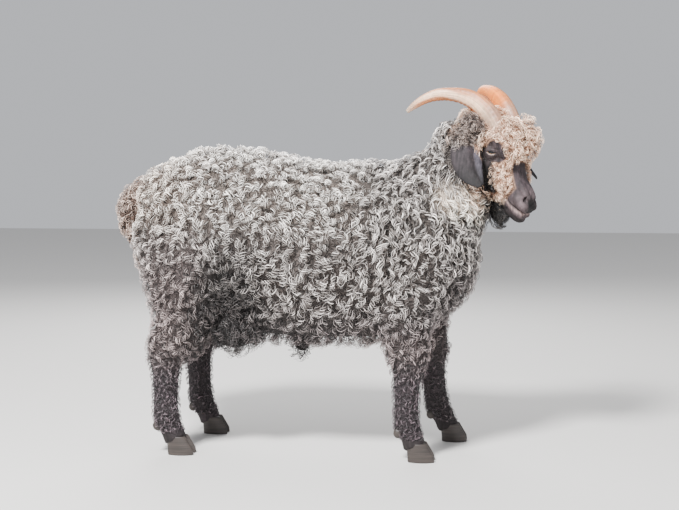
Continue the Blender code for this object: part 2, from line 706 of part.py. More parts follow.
def main():
    for obj in list(bpy.data.objects):
        bpy.data.objects.remove(obj)
    goat = new_collection("angora_goat")
    leg_rows = dict(legs())
    inset = set_in_pieces(goat, leg_rows)
    body = whole_body(leg_rows, random.Random(11))
    sockets = new_collection("sockets")
    for piece in inset:
        socket_for(piece, sockets)
    eye_openings(sockets)
    carve(body, sockets)
    part_body(body, goat, leg_rows)
    bpy.data.collections.remove(bpy.data.collections["body"])


main()
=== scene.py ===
import math

import bmesh
import bpy
import numpy as np
from mathutils import Matrix, Vector
from mathutils.bvhtree import BVHTree
from mathutils.kdtree import KDTree


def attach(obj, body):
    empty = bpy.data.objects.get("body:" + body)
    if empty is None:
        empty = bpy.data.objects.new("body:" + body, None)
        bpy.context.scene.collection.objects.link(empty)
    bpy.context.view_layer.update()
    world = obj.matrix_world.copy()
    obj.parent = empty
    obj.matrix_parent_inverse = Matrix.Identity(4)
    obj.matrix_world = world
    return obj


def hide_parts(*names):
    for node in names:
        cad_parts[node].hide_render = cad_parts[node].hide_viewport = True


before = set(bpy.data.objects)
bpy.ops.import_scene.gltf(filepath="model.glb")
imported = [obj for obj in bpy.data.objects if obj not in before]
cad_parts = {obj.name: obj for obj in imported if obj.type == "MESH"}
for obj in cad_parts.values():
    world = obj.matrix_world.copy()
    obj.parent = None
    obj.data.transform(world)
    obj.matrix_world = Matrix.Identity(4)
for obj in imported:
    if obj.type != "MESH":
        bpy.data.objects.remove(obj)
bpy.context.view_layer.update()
chance = np.random.default_rng(7)


def hexToLinear(text):
    channels = [int(text[i : i + 2], 16) / 255 for i in (1, 3, 5)]
    return tuple(c / 12.92 if c <= 0.04045 else ((c + 0.055) / 1.055) ** 2.4 for c in channels)


def setInputs(tree, node, inputs):  # a socket among the values is linked, any other value is set
    for key, value in inputs.items():
        if isinstance(value, bpy.types.NodeSocket):
            tree.links.new(value, node.inputs[key])
        else:
            node.inputs[key].default_value = value


def addNode(tree, kind, inputs=None, take=0, **settings):  # gives the output named or numbered, or the node
    node = tree.nodes.new(kind)
    for key, value in settings.items():
        setattr(node, key, value)
    setInputs(tree, node, inputs or {})
    return node if take is None else node.outputs[take]


def ease(low, high, values):  # 0 at low, 1 at high, with a soft start and end
    share = np.clip((values - low) / (high - low), 0, 1)
    return share * share * (3 - 2 * share)


def bell(values, width):  # 1 at 0, falling away on both sides
    return np.exp(-((values / width) ** 2))


def unit(vectors):
    return vectors / np.maximum(np.linalg.norm(vectors, axis=-1, keepdims=True), 1e-9)


def moved(matrix, points):
    table = np.array(matrix)
    return points @ table[:3, :3].T + table[:3, 3]


def fullTurn(steps):
    return np.linspace(0, 2 * np.pi, steps, endpoint=False)


def linked(name, data):  # a new object in the scene
    made = bpy.data.objects.new(name, data)
    bpy.context.scene.collection.objects.link(made)
    return made


def softened(obj, smooth=True):
    obj.data.polygons.foreach_set("use_smooth", [smooth] * len(obj.data.polygons))
    return obj


def meshObject(name, points, faces, smooth=True):
    mesh = bpy.data.meshes.new(name)
    mesh.from_pydata(np.asarray(points).tolist(), [], faces)
    fixed = bmesh.new()
    fixed.from_mesh(mesh)
    bmesh.ops.recalc_face_normals(fixed, faces=fixed.faces)
    fixed.to_mesh(mesh)
    fixed.free()
    return softened(linked(name, mesh), smooth)


def settle(obj):  # turns the object with its modifiers into a plain mesh
    mesh = bpy.data.meshes.new_from_object(obj.evaluated_get(bpy.context.evaluated_depsgraph_get()))
    obj.modifiers.clear()
    old = obj.data
    obj.data = mesh
    bpy.data.meshes.remove(old)
    return obj


def joined(name, objects):  # one mesh of several, each still a closed shell of its own
    work = bmesh.new()
    for obj in objects:
        work.from_mesh(obj.data)
        bpy.data.objects.remove(obj)
    mesh = bpy.data.meshes.new(name)
    work.to_mesh(mesh)
    work.free()
    return linked(name, mesh)


def readValues(items, field, size=3, kind=np.float32):  # a row of numbers for each item
    flat = np.empty(len(items) * size, dtype=kind)
    items.foreach_get(field, flat)
    return flat.reshape(-1, size).astype(float if kind == np.float32 else int)


def store(mesh, name, values, kind="FLOAT"):  # keeps a number, vector or colour with each point
    if kind == "FLOAT_COLOR":
        values = np.column_stack((values, np.ones(len(values))))
    field = {"FLOAT": "value", "FLOAT_VECTOR": "vector", "FLOAT_COLOR": "color"}[kind]
    data = mesh.attributes.new(name, kind, "POINT").data
    data.foreach_set(field, np.asarray(values, dtype=np.float32).ravel())


# Each row: x, y, z of the middle, half width to the side, half height, depth of the coat. Metres.
body = {
    "torso": (
        (-0.420, 0, 0.560, 0.030, 0.034, 0.032),
        (-0.397, 0, 0.556, 0.076, 0.074, 0.046),
        (-0.350, 0, 0.536, 0.110, 0.116, 0.054),
        (-0.279, 0, 0.511, 0.128, 0.144, 0.060),
        (-0.179, 0, 0.478, 0.138, 0.164, 0.063),
        (-0.069, 0, 0.458, 0.150, 0.158, 0.064),
        (0.051, 0, 0.453, 0.150, 0.156, 0.062),
        (0.161, 0, 0.462, 0.134, 0.156, 0.060),
        (0.242, 0, 0.482, 0.107, 0.122, 0.057),
        (0.298, 0, 0.504, 0.078, 0.078, 0.050),
        (0.328, 0, 0.514, 0.038, 0.046, 0.042),
    ),
    "neck": (
        (0.131, 0, 0.500, 0.092, 0.118, 0.052),
        (0.216, -0.001, 0.539, 0.086, 0.102, 0.050),
        (0.279, -0.005, 0.592, 0.074, 0.080, 0.046),
        (0.325, -0.012, 0.645, 0.062, 0.066, 0.040),
        (0.353, -0.020, 0.704, 0.054, 0.066, 0.042),
        (0.363, -0.026, 0.728, 0.044, 0.050, 0.036),
    ),
    "tail": (
        (-0.375, 0, 0.592, 0.022, 0.022, 0.020),
        (-0.410, 0, 0.590, 0.022, 0.022, 0.026),
        (-0.440, 0, 0.568, 0.020, 0.019, 0.031),
        (-0.451, 0, 0.542, 0.018, 0.016, 0.031),
        (-0.449, 0, 0.512, 0.014, 0.012, 0.029),
        (-0.440, 0, 0.484, 0.007, 0.006, 0.022),
    ),
    "hind": (
        (-0.271, 0.066, 0.500, 0.058, 0.092, 0.050),
        (-0.282, 0.094, 0.438, 0.058, 0.088, 0.048),
        (-0.291, 0.106, 0.375, 0.048, 0.070, 0.044),
        (-0.301, 0.110, 0.312, 0.035, 0.048, 0.040),
        (-0.318, 0.111, 0.268, 0.027, 0.038, 0.036),
        (-0.340, 0.112, 0.240, 0.022, 0.034, 0.028),
        (-0.347, 0.112, 0.208, 0.018, 0.024, 0.021),
        (-0.347, 0.112, 0.165, 0.0165, 0.0185, 0.018),
        (-0.348, 0.112, 0.115, 0.0160, 0.0180, 0.017),
        (-0.346, 0.112, 0.082, 0.020, 0.022, 0.013),
        (-0.335, 0.112, 0.056, 0.019, 0.021, 0.008),
        (-0.325, 0.112, 0.030, 0.022, 0.024, 0.005),
    ),
    "fore": (
        (0.216, 0.078, 0.475, 0.046, 0.077, 0.048),
        (0.200, 0.096, 0.412, 0.042, 0.056, 0.047),
        (0.191, 0.105, 0.352, 0.034, 0.043, 0.042),
        (0.195, 0.108, 0.300, 0.028, 0.034, 0.036),
        (0.201, 0.108, 0.250, 0.024, 0.029, 0.028),
        (0.204, 0.108, 0.214, 0.023, 0.026, 0.022),
        (0.202, 0.108, 0.184, 0.0175, 0.020, 0.019),
        (0.200, 0.108, 0.130, 0.0150, 0.0175, 0.016),
        (0.201, 0.108, 0.084, 0.0185, 0.0215, 0.012),
        (0.211, 0.108, 0.058, 0.0185, 0.0205, 0.008),
        (0.220, 0.108, 0.030, 0.022, 0.024, 0.005),
    ),
    "footAhead": {"foreRight": 0.0, "foreLeft": 0.068, "hindRight": 0.0, "hindLeft": 0.028},
    "coronet": 0.042,  # height of the top of the claws
    "folds": (  # soft forms of the belly: the sheath, and the flank's fold before each thigh
        ((-0.052, 0, 0.256), (0.022, 0.016, 0.034)),
        ((-0.192, 0.088, 0.300), (0.062, 0.050, 0.058)),
        ((-0.192, -0.088, 0.300), (0.062, 0.050, 0.058)),
    ),
    "share": 0.58,  # how far out through the coat its dense under-wool is modelled
    "voxel": 0.0061,
}
head = {
    "at": Vector((0.356, -0.022, 0.722)),
    "turn": 40,  # degrees, to the goat's right
    "roll": 5,
    "drop": 50,
    "skull": (  # in the skull's axes: forward along the face, left, up through the forehead
        (-0.036, 0, -0.008, 0.034, 0.036, 0.030),
        (-0.014, 0, -0.002, 0.050, 0.054, 0.036),
        (0.020, 0, 0.000, 0.055, 0.064, 0.040),
        (0.055, 0, 0.000, 0.055, 0.066, 0.040),
        (0.090, 0, -0.005, 0.050, 0.060, 0.032),
        (0.122, 0, -0.011, 0.040, 0.050, 0.020),
        (0.152, 0, -0.014, 0.031, 0.042, 0.010),
        (0.180, 0, -0.015, 0.0265, 0.0355, 0.003),
        (0.198, 0, -0.019, 0.0195, 0.026, 0.002),
        (0.210, 0, -0.019, 0.010, 0.013, 0.002),
    ),
    "share": 0.04,
    "throat": ((0.047, 0, -0.168), (0.025, 0.022, 0.026)),  # wool between jaw and neck, in the level head
    "wool": (  # under-wool of the crown and cheeks: middle in the skull's axes, half sizes; mirrored
        ((0.036, 0.014, 0.039), (0.060, 0.040, 0.043)),
        ((0.070, 0.021, 0.060), (0.042, 0.032, 0.042)),
        ((0.006, 0.034, 0.030), (0.046, 0.030, 0.034)),
        ((0.104, 0.031, -0.004), (0.050, 0.017, 0.026)),
        ((0.062, 0.036, -0.034), (0.052, 0.024, 0.028)),
    ),
    "roundEye": (  # brow, tear bone and cheek bone, from the eye's middle
        ((-0.008, -0.014, 0.014), (0.027, 0.016, 0.014)),
        ((0.022, -0.011, 0.002), (0.024, 0.012, 0.012)),
        ((0.010, -0.010, -0.022), (0.034, 0.013, 0.011)),
    ),
    "soft": (  # jaw, nose bone, upper lip, its front, wing of the nose, lower lip
        ((0.068, 0.030, -0.034), (0.044, 0.027, 0.030)),
        ((0.150, 0.009, 0.016), (0.050, 0.011, 0.011)),
        ((0.184, 0.0130, -0.0040), (0.030, 0.0158, 0.0146)),
        ((0.2035, 0.0062, -0.0125), (0.0112, 0.0088, 0.0090)),
        ((0.1920, 0.0098, 0.0018), (0.0180, 0.0088, 0.0090)),
        ((0.184, 0.0105, -0.0268), (0.031, 0.0150, 0.0118)),
    ),
    "mouth": (-0.0168, 0.05),  # the mouth's line: height under the nose bone's axis, and its slope
    "mouthSize": (0.0017, 0.0046),  # half width and depth of the groove between the lips
    "cleft": (0.0016, 0.0018),  # the same of the groove down the nose pad
    "nostril": Vector((0.1920, 0.0149, 0.0088)),
    "nostrilDepth": 0.0085,
    "wrinkle": 0.00022,  # height of the muzzle's fine wrinkles
    "hollow": ((0.056, 0.054, -0.040), (0.054, 0.046, -0.118)),  # in the level head, before the ear; a strip along it is left bare of locks and painted near black, as painted shade
    "voxel": 0.00185,
}
ear = {  # middle line in the level head: forward, outward, up; then half width and the cup's angle
    "rows": (
        (0.021, 0.044, 0.010, 0.014, 85),
        (0.019, 0.070, 0.007, 0.022, 72),
        (0.028, 0.086, -0.008, 0.031, 60),
        (0.037, 0.093, -0.026, 0.0365, 47),
        (0.042, 0.096, -0.047, 0.0345, 38),
        (0.049, 0.097, -0.067, 0.0300, 32),
        (0.060, 0.096, -0.084, 0.0232, 26),
        (0.0705, 0.095, -0.096, 0.0150, 22),
        (0.0780, 0.094, -0.1045, 0.0070, 20),
    ),
    "thickness": 0.0050,
    "front": Vector((0.67, -0.74, 0)),
    "roll": (0.0045, 0.55),  # height of the rolled front margin, and where it starts across the ear
}
eye = {
    "at": Vector((0.070, 0.040, 0.028)),
    "ball": 0.0155,
    "lid": 0.0026,
    "ahead": 33,  # degrees that it looks forward of straight out to the side
    "dip": 13,  # degrees that its front corner lies lower than its back one
    "long": 0.0118,
    "high": (0.0044, 0.0056),  # opening over and under the line of the corners
    "creases": (  # up from the middle of the eye, width, depth: one over the upper lid, three bags under it
        (0.0085, 0.0011, 0.0016),
        (-0.0078, 0.0009, 0.0009),
        (-0.0108, 0.0009, 0.0009),
        (-0.0140, 0.0009, 0.0009),
    ),
}
horn = {  # middle line in the level head: forward, outward, up; then half depth
    "rows": (
        (0.0750, 0.0250, -0.0078, 0.0235),
        (0.0711, 0.0270, 0.0162, 0.0240),
        (0.0555, 0.0305, 0.0463, 0.0236),
        (0.0321, 0.0380, 0.0722, 0.0208),
        (0.0033, 0.0480, 0.0889, 0.0172),
        (-0.0265, 0.0620, 0.0958, 0.0138),
        (-0.0531, 0.0770, 0.0962, 0.0125),
        (-0.0761, 0.0910, 0.0890, 0.0103),
        (-0.0993, 0.1010, 0.0765, 0.0080),
        (-0.1202, 0.1070, 0.0624, 0.0042),
    ),
    "flat": 0.72,
    "keel": 0.16,  # how far the front edge is drawn out
    "growthRings": 26,
    "ringHeight": 0.0006,
    "amber": "#b27045",
    "flank": "#f6cba9",
    "inner": "#dc7a2c",
    "root": "#8f7869",
    "tip": "#c4bba9",
}
levelHead = (
    Matrix.Translation(head["at"])
    @ Matrix.Rotation(math.radians(-head["turn"]), 4, "Z")
    @ Matrix.Rotation(math.radians(head["roll"]), 4, "X")
)
skullPlace = levelHead @ Matrix.Rotation(math.radians(head["drop"]), 4, "Y")
toLevel, toSkull = levelHead.inverted(), skullPlace.inverted()


def inLevelHead(points):  # in the level head's axes, with both sides laid on the left one
    level = moved(toLevel, points)
    level[:, 1] = np.abs(level[:, 1])
    return level


def sided(place, side):
    return Vector((place.x, place.y * side, place.z))


def eyeAxes(side):  # in the skull's axes: the eye's middle, towards its front corner, the way it looks, up
    ahead, dip = math.radians(eye["ahead"]), math.radians(eye["dip"])
    look = Vector((math.sin(ahead), side * math.cos(ahead), 0.05)).normalized()
    corner = Vector((math.cos(ahead), -side * math.sin(ahead), -math.tan(dip))).normalized()
    up = look.cross(corner) * -side
    turn = Matrix.Rotation(math.radians(-head["drop"]), 3, "Y")
    return (np.array(sided(eye["at"], side)), *(np.array(turn @ axis) for axis in (corner, look, up)))


def rowsAt(rows, shares):  # rows on the smooth curve through a part's sections
    table = np.array(rows, dtype=float)
    place = np.clip(shares, 0, 1) * (len(table) - 1)
    i = np.minimum(place.astype(int), len(table) - 2)
    f = (place - i).reshape(-1, *[1] * (table.ndim - 1))
    p, q, r, s = (table[np.clip(i + k, 0, len(table) - 1)] for k in (-1, 0, 1, 2))
    return 0.5 * (2 * q + (r - p) * f + (2 * p - 5 * q + 4 * r - s) * f**2 + (3 * q - p - 3 * r + s) * f**3)


def sectionsAt(rows, t):  # the sections with the directions across each, to the side and up
    here = rowsAt(rows, t)
    along = unit(rowsAt(rows, t + 0.01)[:, :3] - rowsAt(rows, t - 0.01)[:, :3])
    side = unit(np.array((0, 1, 0)) - along * along[:, 1:2])
    return here, side, np.cross(along, side)


def tubeFaces(rings, sides, loop=False, caps=False):  # faces over rings of points, one ring after another
    faces = []
    for r in range(rings if loop else rings - 1):
        for k in range(sides):
            n, onward = (k + 1) % sides, (r + 1) % rings * sides
            faces.append((r * sides + k, r * sides + n, onward + n, onward + k))
    if caps:
        faces += [tuple(range(sides)), tuple(range((rings - 1) * sides, rings * sides))]
    return faces


def loft(name, rows, share, rings=48, sides=40, place=Matrix()):  # closed skin through the sections
    here, side, up = sectionsAt(rows, np.linspace(0, 1, rings))
    around = fullTurn(sides)[None, :, None]
    wide, high = ((here[:, k] + here[:, 5] * share)[:, None, None] for k in (3, 4))
    ring = side[:, None] * np.cos(around) * wide + up[:, None] * np.sin(around) * high
    points = (here[:, None, :3] + ring).reshape(-1, 3)
    return meshObject(name, moved(place, points), tubeFaces(rings, sides, caps=True))


def ball(name, at, size, place=Matrix(), segments=32):
    mesh = bpy.data.meshes.new(name)
    work = bmesh.new()
    bmesh.ops.create_uvsphere(work, u_segments=segments, v_segments=segments // 2, radius=1)
    work.to_mesh(mesh)
    work.free()
    half = size if isinstance(size, tuple) else (size,) * 3
    mesh.transform(place @ Matrix.Translation(at) @ Matrix.Diagonal((*half, 1)))
    return linked(name, mesh)


def legRows(leg):
    rows = body["fore" if leg.startswith("fore") else "hind"]
    ahead, side = body["footAhead"][leg], -1 if leg.endswith("Right") else 1
    return tuple((row[0] + ahead * (1 - row[2] / rows[0][2]), row[1] * side, *row[2:]) for row in rows)


def remeshed(obj, voxel, rounds):  # one closed surface, with the creases between its parts eased
    remesh = obj.modifiers.new("voxels", "REMESH")
    remesh.mode = "VOXEL"
    remesh.voxel_size = voxel
    soften = obj.modifiers.new("soften", "SMOOTH")
    soften.factor = 0.5
    soften.iterations = rounds
    return settle(obj)


def earForm(side):
    steps, across = 40, 18
    rows = np.array(ear["rows"])
    loops = []
    front = np.array(ear["front"])
    for t in np.linspace(0, 1, steps + 1):
        here, before, after = rowsAt(rows, np.array((t, t - 0.02, t + 0.02)))
        ahead = unit(after[:3] - before[:3])
        width = unit(front - ahead * front.dot(ahead))
        outward = np.cross(width, ahead)
        bend = math.radians(here[4])
        turns = np.linspace(-bend, bend, across + 1)[:, None]
        share = turns / bend  # -1 at the back edge, 1 at the front one
        rim = ear["thickness"] / 2 * np.sqrt(np.clip(1.15 - share**2, 0.15, 1))
        high, start = ear["roll"]
        roll = ease(start, 0.85, share) - 0.45 * bell(share - start + 0.12, 0.13)
        radius = here[3] / bend + roll * high * ease(1.0, 0.7, t) * ease(0.1, 0.35, t)
        back = here[:3] - outward * here[3] / bend
        way = width * np.sin(turns) + outward * np.cos(turns)
        loops.append(np.vstack((back + way * (radius + rim), (back + way * (radius - rim))[::-1])))
    around = 2 * across + 2
    faces = tubeFaces(steps + 1, around)
    for first in (0, steps * around):
        last = first + around - 1
        faces += [(first + k, first + k + 1, last - 1 - k, last - k) for k in range(across)]
    place = levelHead @ Matrix.Diagonal((1, side, 1, 1))
    return meshObject("earForm", moved(place, np.vstack(loops)), faces)


def headForm():
    forms = [loft("skull", head["skull"], head["share"], place=skullPlace)]
    for side in (-1, 1):
        at = sided(eye["at"], side)
        lids = eye["ball"] + eye["lid"]
        rows = [(sided(Vector(place), side), size) for place, size in head["wool"]]
        rows += [(at, (lids * 1.06, lids, lids * 1.02))]
        rows += [(at + sided(Vector(place), side), size) for place, size in head["roundEye"]]
        rows += [(sided(Vector(place), side), size) for place, size in head["soft"]]
        forms += [ball("soft", place, size, skullPlace) for place, size in rows]
        forms.append(earForm(side))
    forms.append(ball("throat", Vector(head["throat"][0]), head["throat"][1], levelHead))
    forms.append(ball("chin", Vector((0.182, 0, -0.038)), (0.036, 0.0200, 0.0180), skullPlace))
    forms.append(ball("nosePad", Vector((0.2010, 0, -0.0060)), (0.0120, 0.0090, 0.0110), skullPlace))
    return remeshed(joined("headForm", forms), head["voxel"], 3)


def almond(points, side):  # how far inside the lids' opening and up across it, distance and way from the eye
    at, corner, look, up = eyeAxes(side)
    away = points - at
    along, across = away @ corner, away @ up
    pointed = np.clip(1 - (np.abs(along) / eye["long"]) ** 1.8, 0, None)
    inside = 1 - np.abs(across) / np.maximum(np.where(across > 0, *eye["high"]) * pointed, 1e-6)
    ahead = (away @ look > 0) & (pointed > 0)
    return np.where(ahead, inside, -9), across, np.linalg.norm(away, axis=1), away


def inNostril(p, side):  # 1 in the slit of the nostril, which runs down and forward and hooks inward
    q = p - np.array(sided(head["nostril"], side))
    along = q @ np.array((0.77, 0, -0.64))
    across = q @ np.array((0.50, -0.62 * side, 0.60)) - 90 * along**2
    return np.exp(-((along / 0.0062) ** 2 + (across / 0.0021) ** 2 + (q[:, 1] / 0.012) ** 2))


def mouthHeight(p):
    high, slope = head["mouth"]
    return high + slope * (p[:, 0] - 0.20) - 0.0016 * np.sin((p[:, 0] - 0.165) * 110)


def shapeFace(mesh):
    p = moved(toSkull, readValues(mesh.vertices, "co"))
    normals = readValues(mesh.vertex_normals, "vector") @ np.array(toSkull)[:3, :3].T
    for side in (-1, 1):
        inside, across, far, away = almond(p, side)
        near = far < eye["ball"] + 0.014
        sunk = near & (inside > 0)  # behind the eyeball, so that it looks out between the lids
        p[sunk] += away[sunk] * ((eye["ball"] - 0.0012) / far[sunk] - 1)[:, None]
        rim = near & (inside <= 0) & (inside > -2.2) & (away @ eyeAxes(side)[2] > 0.002)
        closest = eye["ball"] + eye["lid"] * 0.75
        push = np.clip(closest / far[rim] - 1, 0, None)
        p[rim] += away[rim] * push[:, None]
        fold = sum(bell(across - high, width) * depth for high, width, depth in eye["creases"])
        fold *= ease(0.022, 0.016, np.abs(away @ eyeAxes(side)[1])) * near
        p -= normals * (fold + inNostril(p, side) * head["nostrilDepth"])[:, None]
    forward = ease(0.150, 0.162, p[:, 0])
    wide, deep = head["mouthSize"]
    p -= normals * (bell(p[:, 2] - mouthHeight(p), wide) * deep * forward)[:, None]
    wide, deep = head["cleft"]
    cleft = bell(p[:, 1], wide) * ease(0.200, 0.210, p[:, 0])
    p -= normals * (cleft * ease(0.012, 0.002, p[:, 2]) * deep)[:, None]
    wrinkle = np.sin(p[:, 0] * 1100 + 3 * np.sin(p[:, 1] * 160)) * ease(0.180, 0.196, p[:, 0])
    p += normals * (wrinkle * head["wrinkle"] * ease(-0.030, 0.0, p[:, 2]))[:, None]
    mesh.vertices.foreach_set("co", moved(skullPlace, p).astype(np.float32).ravel())
    mesh.update()


def lidRims(side):  # fine edges of the lids round the almond
    steps, sides, radius = 64, 10, 0.0011
    at, corner, look, up = eyeAxes(side)
    a = fullTurn(steps)
    along = eye["long"] * np.cos(a)
    pointed = np.clip(1 - np.abs(np.cos(a)) ** 1.8, 0, None)
    across = np.sign(np.sin(a)) * np.where(np.sin(a) > 0, *eye["high"]) * pointed
    over = eye["ball"] + 0.0006
    out = np.sqrt(np.maximum(over**2 - along**2 - across**2, 1e-6))
    middle = at + along[:, None] * corner + across[:, None] * up + out[:, None] * look
    ahead = unit(np.roll(middle, -1, 0) - np.roll(middle, 1, 0))
    outward = unit(middle - at)
    beside = np.cross(ahead, outward)
    turn = fullTurn(sides)[None, :, None]
    ring = outward[:, None] * np.sin(turn) + beside[:, None] * np.cos(turn) * 1.25
    points = (middle[:, None] + ring * radius).reshape(-1, 3)
    return meshObject("lidRim", moved(skullPlace, points), tubeFaces(steps, sides, loop=True))


def bodyForm():
    forms = [loft(part, body[part], body["share"], sides=56) for part in ("torso", "neck", "tail")]
    for leg in body["footAhead"]:
        forms.append(loft(leg, legRows(leg), body["share"], rings=72, sides=28))
    forms += [ball("fold", Vector(place), size) for place, size in body["folds"]]
    return remeshed(joined("bodyForm", forms), body["voxel"], 6)


def unite(first, second):
    union = first.modifiers.new("unite", "BOOLEAN")
    union.operation = "UNION"
    union.object = second
    union.solver = "MANIFOLD"
    settle(first)
    bpy.data.objects.remove(second)
    return first


faceForm = headForm()
shapeFace(faceForm.data)
skin = unite(bodyForm(), faceForm)
rims = [lidRims(-1), lidRims(1)]
rimPoints = sum(len(rim.data.vertices) for rim in rims)
skin = softened(joined("skin", [skin, *rims]))
print("skin:", len(skin.data.polygons), "faces")

tones = {  # tips, middle and roots of the locks, as sRGB; the darker roots and middles are painted shade deep in the coat
    "side": ("#fffbf5", "#7a6f67", "#1d1816"),
    # painted shade: the lower side
    "lowSide": ("#dcd5d0", "#5f5652", "#191514"),
    "shoulder": ("#dcd5d0", "#5d5550", "#1a1614"),
    # painted shade: the wool under the jaw, painted near black for the deep shade there
    "throat": ("#3b3634", "#1d1a19", "#0b0a0a"),
    "rump": ("#fdf3e6", "#7d6d63", "#1e1816"),
    "tail": ("#c4b0a3", "#715b50", "#271d18"),
    # the neck's cream is its own colour, but its roots and middles are painted light, close to the tips
    "neck": ("#fffcf3", "#f5e8d8", "#a08c7b"),
    "crown": ("#ffe3ca", "#e0b496", "#6c4e3e"),
    "overEar": ("#94847b", "#4b3e38", "#1a1412"),
    "thigh": ("#b0a09d", "#5c504e", "#1d1818"),
    "cannon": ("#6a5b61", "#3a3135", "#151112"),
    # painted shade: under the belly and low on the chest
    "belly": ("#948888", "#484140", "#181414"),
    # painted shade: the flank's fold before each thigh
    "groin": ("#37302f", "#1b1717", "#0a0808"),
    "earShade": ("#3a3130", "#201a1a", "#0e0b0b"),
}
bare = {
    "ear": "#2d272a",
    # painted highlight: the ear's lit front edge
    "earBand": "#3e3a42",
    "lid": "#2d2526",
    # painted highlight: the lower lid's rim
    "lidEdge": "#80706b",
    "bridge": "#322a2d",
    "muzzle": "#463b3d",
    "lowerLip": "#786562",
    # painted shade: the dark gap before the ear
    "hollow": "#120e0e",
    "mouth": "#1a1313",
    "nosePad": "#151214",
    "nostril": "#0d0909",
    "chin": "#1f191a",
}


def blend(base, colour, share):
    return base * (1 - share[:, None]) + np.array(colour) * share[:, None]


def painted(base, pick, *layers):  # colours laid over one another, each by its share at each point
    for name, share in layers:
        base = blend(base, pick[name], share)
    return base


def fromHollow(points):  # distance from the line down the hollow between the ear and the cheek
    level = inLevelHead(points)
    start, end = (np.array(point) for point in head["hollow"])
    share = np.clip((level - start) @ (end - start) / ((end - start) @ (end - start)), 0, 1)
    return np.linalg.norm(level - start - share[:, None] * (end - start), axis=1)


def coatTone(points, which):  # the coat's colours, its markings with painted light and shade: 0 tips, 1 middle, 2 roots
    pick = {name: hexToLinear(row[which]) for name, row in tones.items()}
    x, y, z = points.T
    level = inLevelHead(points)
    ahead, aside, above = level.T
    # where the marks that aren't bands lie: flank fold, sheath, crown, throat, over the ears, neck's front;
    # the fold and the throat are painted shade
    fold = np.sqrt(((x + 0.192 - 0.10 * (z - 0.36)) / 0.080) ** 2 + ((z - 0.32) / 0.150) ** 2)
    sheath = np.linalg.norm(points - np.array((-0.052, 0, 0.245)), axis=1)
    crown = ease(-0.035, 0.0, ahead) * ease(0.088, 0.070, aside) * ease(-0.165, -0.130, above)
    under = np.linalg.norm((level - np.array(head["throat"][0])) / np.array((0.042, 0.045, 0.045)), axis=1)
    overEar = np.linalg.norm(level - np.array((0.026, 0.074, 0.020)), axis=1)
    foreEnd = ease(0.245, 0.285, x) * ease(0.54, 0.57, z)
    return painted(
        np.tile(pick["side"], (len(points), 1)),
        pick,
        # painted shade: the side darker towards the bottom, as if less lit
        ("lowSide", ease(0.585, 0.44, z) * 0.95),
        ("rump", ease(-0.22, -0.38, x) * ease(0.46, 0.60, z)),
        # painted shade under the belly
        ("belly", ease(0.40, 0.28, z)),
        ("thigh", ease(0.56, 0.38, z) * ease(-0.20, -0.28, x)),
        # painted shade in the flank's fold before each thigh; the sheath under the belly gets the same dark
        # colour
        ("groin", ease(1.70, 0.40, fold) * 0.92),
        ("groin", ease(0.050, 0.032, sheath)),
        ("thigh", ease(0.34, 0.24, z) * ease(0.05, 0.10, x)),
        ("cannon", ease(0.27, 0.17, z)),
        ("shoulder", ease(0.06, 0.14, x) * ease(0.44, 0.50, z)),
        # painted shade low on the chest
        ("belly", ease(0.24, 0.31, x) * ease(0.48, 0.41, z) * 0.65),
        # cream neck front, with painted light in its roots and middles
        ("neck", foreEnd * ease(0.63, 0.595, z)),
        ("crown", crown * ease(0.0, 0.020, ahead + 0.5 * (above + 0.08))),
        # painted shade under the jaw
        ("throat", ease(1.15, 0.75, under)),
        ("overEar", ease(0.055, 0.032, overEar)),
        ("earShade", ease(0.023, 0.014, fromHollow(points))),
        ("tail", ease(-0.395, -0.42, x) * ease(0.07, 0.05, np.abs(y))),
    )


def isPart(parts, *names):  # whether each point lies on one of the named parts
    return np.isin(parts, [partNames.index(name) for name in names])


def onEars(parts):
    return isPart(parts, "earRight", "earLeft")


def bareShare(points, parts):  # 1 where the face, ears and feet have only short flat hair
    s = moved(toSkull, points)
    x, y, z = s.T
    muzzle = ease(0.158, 0.168, x + 0.10 * (z + 0.014)) * ease(-0.060, -0.052, z)
    bridge = ease(0.112, 0.122, x) * ease(0.006, 0.014, z) * ease(0.025, 0.020, np.abs(y))
    patch = np.zeros(len(points))
    for side in (-1, 1):
        away = s - np.array((eye["at"].x + 0.009, (eye["at"].y + 0.004) * side, eye["at"].z + 0.015))
        patch = np.maximum(patch, ease(0.0275, 0.0235, np.linalg.norm(away, axis=1)))
    near = isPart(parts, "head").astype(float)
    pinna = onEars(parts) * ease(-0.010, -0.022, inLevelHead(points)[:, 2])
    foot = ease(0.052, 0.044, points[:, 2])
    hollow = ease(0.0135, 0.0095, fromHollow(points))
    return np.maximum.reduce((muzzle * near, bridge * near, patch * near, hollow * near, pinna, foot))


def earAcross(level):  # place across the ear: -1 back edge, 1 front edge
    rows = rowsAt(ear["rows"], np.linspace(0, 1, 60))
    nearest = np.argmin(np.abs(level[:, 2:3] - rows[None, :, 2]), axis=1)
    return (level - rows[nearest, :3]) @ np.array(ear["front"]) / np.maximum(rows[nearest, 3], 0.004)


